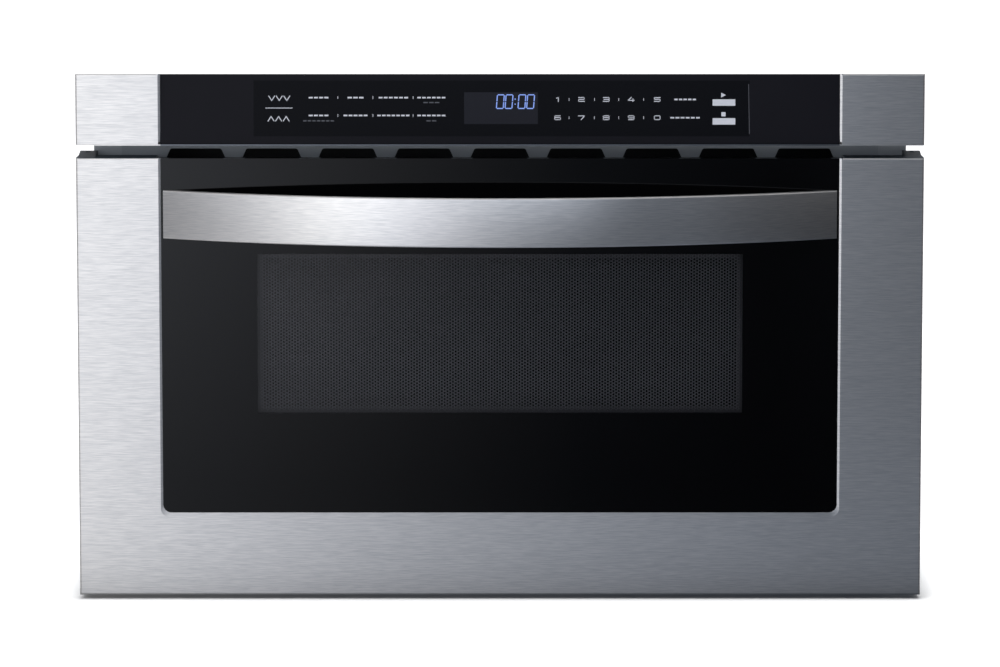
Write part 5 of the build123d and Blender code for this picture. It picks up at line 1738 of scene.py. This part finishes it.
@dataclass
class Handle:
    """Bowed steel band on two brackets.

    Attributes:
        radius: Of the band's front.
        thickness: Of the band.
        half: Half its span.
        centre_y: Centre of the bow.
        glass_y: Front of the glass, where the band's ends stop.
        low: Lower edge.
        high: Upper edge.
        edge: Radius of the front edges.
        edge_steps: Straight pieces in each front edge.
        steps: Pieces along the band.
        crease: Angle in degrees above which an edge stays sharp.
    """

    radius: float = 466.6
    thickness: float = 5.0
    half: float = 240.9
    centre_y: float = 132.1
    glass_y: float = -266.0
    low: float = 261.2
    high: float = 295.8
    edge: float = 1.2
    edge_steps: int = 4
    steps: int = 160
    crease: float = 35.0

    def section(self, x: float) -> list[Point]:
        """One upright section of the band.

        Args:
            x: Where it is cut.

        Returns:
            Its points, round the section.
        """
        front = self.centre_y - math.sqrt(self.radius**2 - x * x)
        back = min(self.glass_y, self.centre_y - math.sqrt((self.radius - self.thickness) ** 2 - x * x))
        edge = min(self.edge, (back - front) * 0.8)
        points = [(x, back, self.low)]
        for z, sign in ((self.low, 1), (self.high, -1)):
            turns = [math.pi / 2 * step / self.edge_steps for step in range(self.edge_steps + 1)]
            arc = [(x, front + edge * (1 - math.sin(a)), z + sign * edge * (1 - math.cos(a))) for a in turns]
            points += arc if sign > 0 else arc[::-1]
        return points + [(x, back, self.high)]

    def build(self) -> None:
        """Builds the band and dresses its brackets."""
        rows = [self.section(self.half * (2 * i / self.steps - 1)) for i in range(self.steps + 1)]
        points = [point for row in rows for point in row]
        faces = skin(len(rows), len(rows[0]))
        band = mesh_object("handle_bar", points, faces, smooth=True, crease=self.crease)
        piece(band, HANDLE_STEEL, "drawer", "handle_band")
        dress(ZINC, "handle_brackets")


@dataclass
class Works:
    """Everything inside the case: cavity, microwave source, stirrer, transformer, fan and lamp.

    Attributes:
        fin: Width and depth of a cooling fin.
        fin_bore: Radius of its bore.
        fin_steps: Flats round the bore.
        fin_sheet: Its thickness.
        fin_lip: Half the length of its turned-down ends, and their lower and upper edge.
        fin_at: Y of the magnetron and height of the lowest fin.
        fin_row: How many fins, and their pitch.
        core: X and Y of the transformer.
        coil: Outer width and depth and inner width and depth of a winding.
        coil_corners: Outer and inner corner radius of a winding.
        coil_low: Foot of each winding.
        coil_height: Height of a winding.
        coil_layers: Wires on top of each other in it.
        coil_sunk: How far its body stays within the wires, above and below.
        fan_middle: Middle of the fan.
        fan_blades: How many blades.
        fan_grid: Sections along a blade, and pieces across its chord.
        blade_radius: Root and tip of a blade.
        blade_chord: Chord at the root, and how much longer it is at the tip.
        blade_twist: Pitch in degrees at the root, and how much less it is at the tip.
        blade_camber: Height of its curve.
        blade_thick: Half its thickness in the middle above that of its edges, and half that of its edges.
        hub_half: Half the hub's height.
        hub_crease: Angle in degrees above which its edges stay sharp.
    """

    fin: Flat = (76.0, 56.0)
    fin_bore: float = 19.1
    fin_steps: int = 24
    fin_sheet: float = 0.8
    fin_lip: tuple[float, float, float] = (20.0, -3.0, 0.4)
    fin_at: Flat = (226.7, 214.7)
    fin_row: tuple[int, float] = (6, 11.0)
    core: Flat = (-155.0, 254.4)
    coil: tuple[float, float, float, float] = (67.0, 89.0, 30.6, 52.6)
    coil_corners: Flat = (9.0, 1.0)
    coil_low: Flat = (17.2, 43.2)
    coil_height: float = 23.0
    coil_layers: int = 12
    coil_sunk: float = 0.2
    fan_middle: Point = (180.0, 310.55, 150.0)
    fan_blades: int = 5
    fan_grid: tuple[int, int] = (9, 8)
    blade_radius: Flat = (13.0, 52.2)
    blade_chord: Flat = (15.0, 11.5)
    blade_twist: Flat = (42.0, 18.0)
    blade_camber: float = 1.3
    blade_thick: Flat = (0.95, 0.1)
    hub_half: float = 8.7
    hub_crease: float = 40.0

    def build(self) -> None:
        """Dresses the inner works."""
        dress(ENAMEL, "oven_cavity")
        dress(GALVANISED, "waveguide", "magnetron_tube", "magnetron_yoke")
        dress(ALUMINIUM, "stirrer_antenna", "hv_capacitor")
        dress(ZINC, "stirrer_motor")
        dress(WHITE_PP, "stirrer_cover", "oven_lamp")
        dress(IRON, "transformer_core", "fan_motor")
        dress(BLACK_ABS, "hv_diode", "thermal_cutouts")
        dress(BOARD, "noise_filter")
        dress(GREY_ABS, "fan_shroud")
        self.fins()
        self.coils()
        self.fan()

    def fins(self) -> None:
        """Builds the anode's stack of fins, each with its ends turned down."""
        turns = [2 * math.pi * i / self.fin_steps + math.pi / self.fin_steps for i in range(self.fin_steps)]
        wide, deep = self.fin[0] / 2, self.fin[1] / 2
        outer = []
        for a in turns:
            reach = min(wide / max(abs(math.cos(a)), 1e-6), deep / max(abs(math.sin(a)), 1e-6))
            outer.append((reach * math.cos(a), reach * math.sin(a)))
        inner = [(self.fin_bore * math.cos(a), self.fin_bore * math.sin(a)) for a in turns]
        shape = [ring(outer, inner, 0.0, self.fin_sheet, along_z)]
        half, (long, low, high) = self.fin_sheet / 2, self.fin_lip
        for sign in (-1, 1):
            middle = sign * wide - half * sign
            shape.append(prism(rectangle(middle - half, middle + half, -long, long), low, high, along_z))
        count, pitch = self.fin_row
        places = [(0.0, self.fin_at[0], self.fin_at[1] + pitch * i) for i in range(count)]
        stack = Repeater("fins").copies("magnetron_fin_stack", joined(shape), places, ALUMINIUM)
        piece(stack, ALUMINIUM, "chassis", "magnetron_fins")

    def coils(self) -> None:
        """Builds both windings: a wound body with a layer of wire round it."""
        gauge = self.coil_height / self.coil_layers
        outside = rounded(self.coil[0] - gauge, self.coil[1] - gauge, self.coil_corners[0] - gauge / 2)
        inside = rounded(self.coil[2], self.coil[3], self.coil_corners[1])
        centre = [[(self.core[0] + x, self.core[1] + y) for x, y in line] for line in (outside, inside)]
        bodies = [ring(*centre, low + self.coil_sunk, low + self.coil_height - self.coil_sunk, along_z)
                  for low in self.coil_low]
        piece(mesh_object("coil_bodies", *joined(bodies)), COPPER, "chassis", "transformer_coils")
        heights = [low + gauge * (i + 0.5) for low in self.coil_low for i in range(self.coil_layers)]
        places = [(*self.core, z) for z in heights]
        turn = wire(outside, gauge / 2)
        layer = Repeater("winding").copies("coil_wires", turn, places, COPPER, smooth=True)
        piece(layer, COPPER, "chassis", "transformer_coils")

    def blade(self) -> Solid:
        """One twisted, cambered fan blade that points along +X from the fan's middle.

        Returns:
            Points and faces.
        """
        rows, cuts = self.fan_grid
        root, tip = self.blade_radius
        points = []
        for i in range(rows):
            share = i / (rows - 1)
            radius = root + share * (tip - root)
            chord = self.blade_chord[0] + share * self.blade_chord[1]
            twist = math.radians(self.blade_twist[0] - share * self.blade_twist[1])
            for side in (1, -1):
                for k in range(cuts + 1) if side > 0 else range(cuts - 1, 0, -1):
                    u = k / cuts - 0.5
                    camber = self.blade_camber * (1 - 4 * u * u)
                    thick = self.blade_thick[0] * math.sqrt(max(0.0, 1 - 4 * u * u)) + self.blade_thick[1]
                    across = camber + side * thick * (0 if k in (0, cuts) else 1)
                    along = u * chord
                    points.append((radius, along * math.sin(twist) + across * math.cos(twist),
                                   along * math.cos(twist) - across * math.sin(twist)))
        return points, skin(rows, 2 * cuts)

    def fan(self) -> None:
        """Builds the fan's blades and its bored hub."""
        x, y, z = self.fan_middle
        count = self.fan_blades
        turns = [(0.0, 2 * math.pi * i / count, 0.0) for i in range(count)]
        places = [self.fan_middle] * count
        blades = Repeater("fan").copies("fan_blades", self.blade(), places, BLACK_ABS, turns, smooth=True)
        piece(blades, BLACK_ABS, "fan", "fan_blade")
        low, high = y - self.hub_half, y + self.hub_half
        # Radius and height of each corner: the bore, the round shoulders and the recess round the shaft.
        profile = [(3.1, low), (14.5, low), (15.6, low + 0.5), (16.0, low + 1.5), (16.0, high - 2.5),
                   (15.0, high - 0.8), (13.0, high), (8.0, high), (7.4, high - 1.2), (3.1, high - 1.2)]
        shape = turned(profile, 32, lambda u, v, h: (x + u, h, z + v))
        hub = mesh_object("fan_hub", *shape, smooth=True, crease=self.hub_crease)
        piece(hub, BLACK_ABS, "fan", "fan_blade")


@dataclass
class Bin:
    """Drawer bin with its loose ceramic plate."""

    def build(self) -> None:
        """Dresses the bin."""
        dress(BIN_POLYMER, "bin_shell")
        dress(CERAMIC, "ceramic_plate")


@dataclass
class SlidesAndDrive:
    """Ball slides, rack drive and interlock.

    Attributes:
        side: X of the side panels' inner faces.
        middle_z: Height of the slides' middle.
        sheet: Thickness of the slides.
        bend: Radius of their folds.
        crease: Angle in degrees above which an edge stays sharp.
        front: Y of the fixed member's front end.
        length: Of the fixed member.
        fixed: Corners of the fixed member's middle line: distance from the side panel and height.
        middle: The same for the middle member.
        inner: The same for the drawer's member.
        tab: Near and far end of the drawer's tab from the side panel, and its lower and upper edge.
        tab_y: Front and back of the tab.
        balls: In one cage.
        cages: Of each pair: distance from the side panel, offset in height, ball radius and front end.
        cage: Half the width, half the thickness and the length of a cage's strip.
        ball_run: First ball behind the cage's front end, and the length that the balls take.
    """

    side: float = 276.8
    middle_z: float = 45.5
    sheet: float = 1.4
    bend: float = 1.3
    crease: float = 50.0
    front: float = -240.0
    length: float = 420.0
    fixed: tuple[Flat, ...] = ((11.3, 14.5), (11.3, 16.8), (0.7, 16.8), (0.7, -16.8), (11.3, -16.8),
                               (11.3, -14.5))
    middle: tuple[Flat, ...] = ((12.4, 12.2), (3.7, 12.2), (3.7, -12.2), (12.4, -12.2))
    inner: tuple[Flat, ...] = ((6.0, 8.4), (12.1, 8.4), (12.1, -8.4), (6.0, -8.4))
    tab: Edges = (7, 36, 30.5, 60.5)
    tab_y: Flat = (-244.5, -242.5)
    balls: int = 14
    cages: tuple[tuple[float, ...], ...] = ((6.5, 14.5, 1.5, -42.0), (8.8, 10.3, 1.1, -230.0))
    cage: tuple[float, float, float] = (1.0, 0.3, 190.0)
    ball_run: Flat = (8.0, 174.0)

    def rail(self, sign: int, path: Sequence[Flat], start: float, end: float) -> Solid:
        """One folded member.

        Args:
            sign: -1 on the left, 1 on the right.
            path: Corners of its middle line: distance from the side panel and height.
            start: Its front end.
            end: Its rear end.

        Returns:
            Points and faces.
        """
        line = [(sign * (self.side - out), self.middle_z + up) for out, up in path]
        return prism(bent_sheet(line, self.sheet, self.bend), start, end, along_y)

    def members(self, side: str, sign: int) -> None:
        """Builds the three members of one slide.

        Args:
            side: left or right.
            sign: -1 on the left, 1 on the right.
        """
        back = self.front + self.length
        near, far, low, high = self.tab
        tab = rectangle(*sorted((sign * (self.side - far), sign * (self.side - near))), low, high)
        fixed = self.rail(sign, self.fixed, self.front, back)
        travelling = self.rail(sign, self.middle, self.front + 1, back - 1)
        inner = self.rail(sign, self.inner, self.tab_y[0], back - 2)
        held = joined([inner, prism(tab, *self.tab_y, along_y)])
        for name, shape, body, node in (
            ("slide_fixed_", fixed, "chassis", "rail_outer_"),
            ("slide_middle_", travelling, "middle_rail_" + side, "rail_middle_"),
            ("slide_inner_", held, "drawer", "rail_inner_"),
        ):
            item = mesh_object(name + side, *shape, smooth=True, crease=self.crease)
            piece(item, ZINC, body, node + side)

    def bearings(self, side: str, sign: int) -> None:
        """Builds the ball cages between the members of one slide.

        Args:
            side: left or right.
            sign: -1 on the left, 1 on the right.
        """
        half, thin, long = self.cage
        first, run = self.ball_run
        strips = []
        for number, (out, up, radius, start) in enumerate(self.cages):
            x, heights = sign * (self.side - out), (self.middle_z - up, self.middle_z + up)
            strips += [prism(rectangle(x - half, x + half, z - thin, z + thin), start, start + long, along_y)
                       for z in heights]
            turns = [math.pi * i / 6 for i in range(1, 6)]
            arc = [(radius * math.sin(a), radius * math.cos(a)) for a in turns]
            ball = turned([(0.0, radius), *arc, (0.0, -radius)], 10, along_z)
            spots = [start + first + run * i / (self.balls - 1) for i in range(self.balls)]
            places = [(x, y, z) for z in heights for y in spots]
            name = f"slide_balls_{number}_{side}"
            row = Repeater("balls").copies(name, ball, places, ZINC, smooth=True)
            piece(row, ZINC, "middle_rail_" + side, "rail_middle_" + side)
        cages = mesh_object(f"slide_cages_{side}", *joined(strips))
        piece(cages, BRASS, "middle_rail_" + side, "rail_middle_" + side)

    def build(self) -> None:
        """Builds the slides and dresses the drive and the interlock."""
        for side, sign in (("left", -1), ("right", 1)):
            self.members(side, sign)
            self.bearings(side, sign)
        dress(ACETAL, "drive_rack", "drive_pinion", "interlock_lever_left", "interlock_lever_right")
        dress(GALVANISED, "drive_bracket", "interlock_brackets")
        dress(ZINC, "drive_motor")
        dress(BLACK_ABS, "interlock_switches")
        dress(WHITE_PP, "latch_heads")


def main() -> None:
    """Builds the studio and every sub-assembly in order."""
    logging.basicConfig(level=logging.INFO, format="%(message)s", stream=sys.stdout)
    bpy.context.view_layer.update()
    Studio().build()
    for part in (Chassis(), ControlPanel(), DrawerFront(), Handle(), Works(), Bin(), SlidesAndDrive()):
        part.build()
        log.info("%s done", type(part).__name__)


if __name__ == "__main__":
    main()
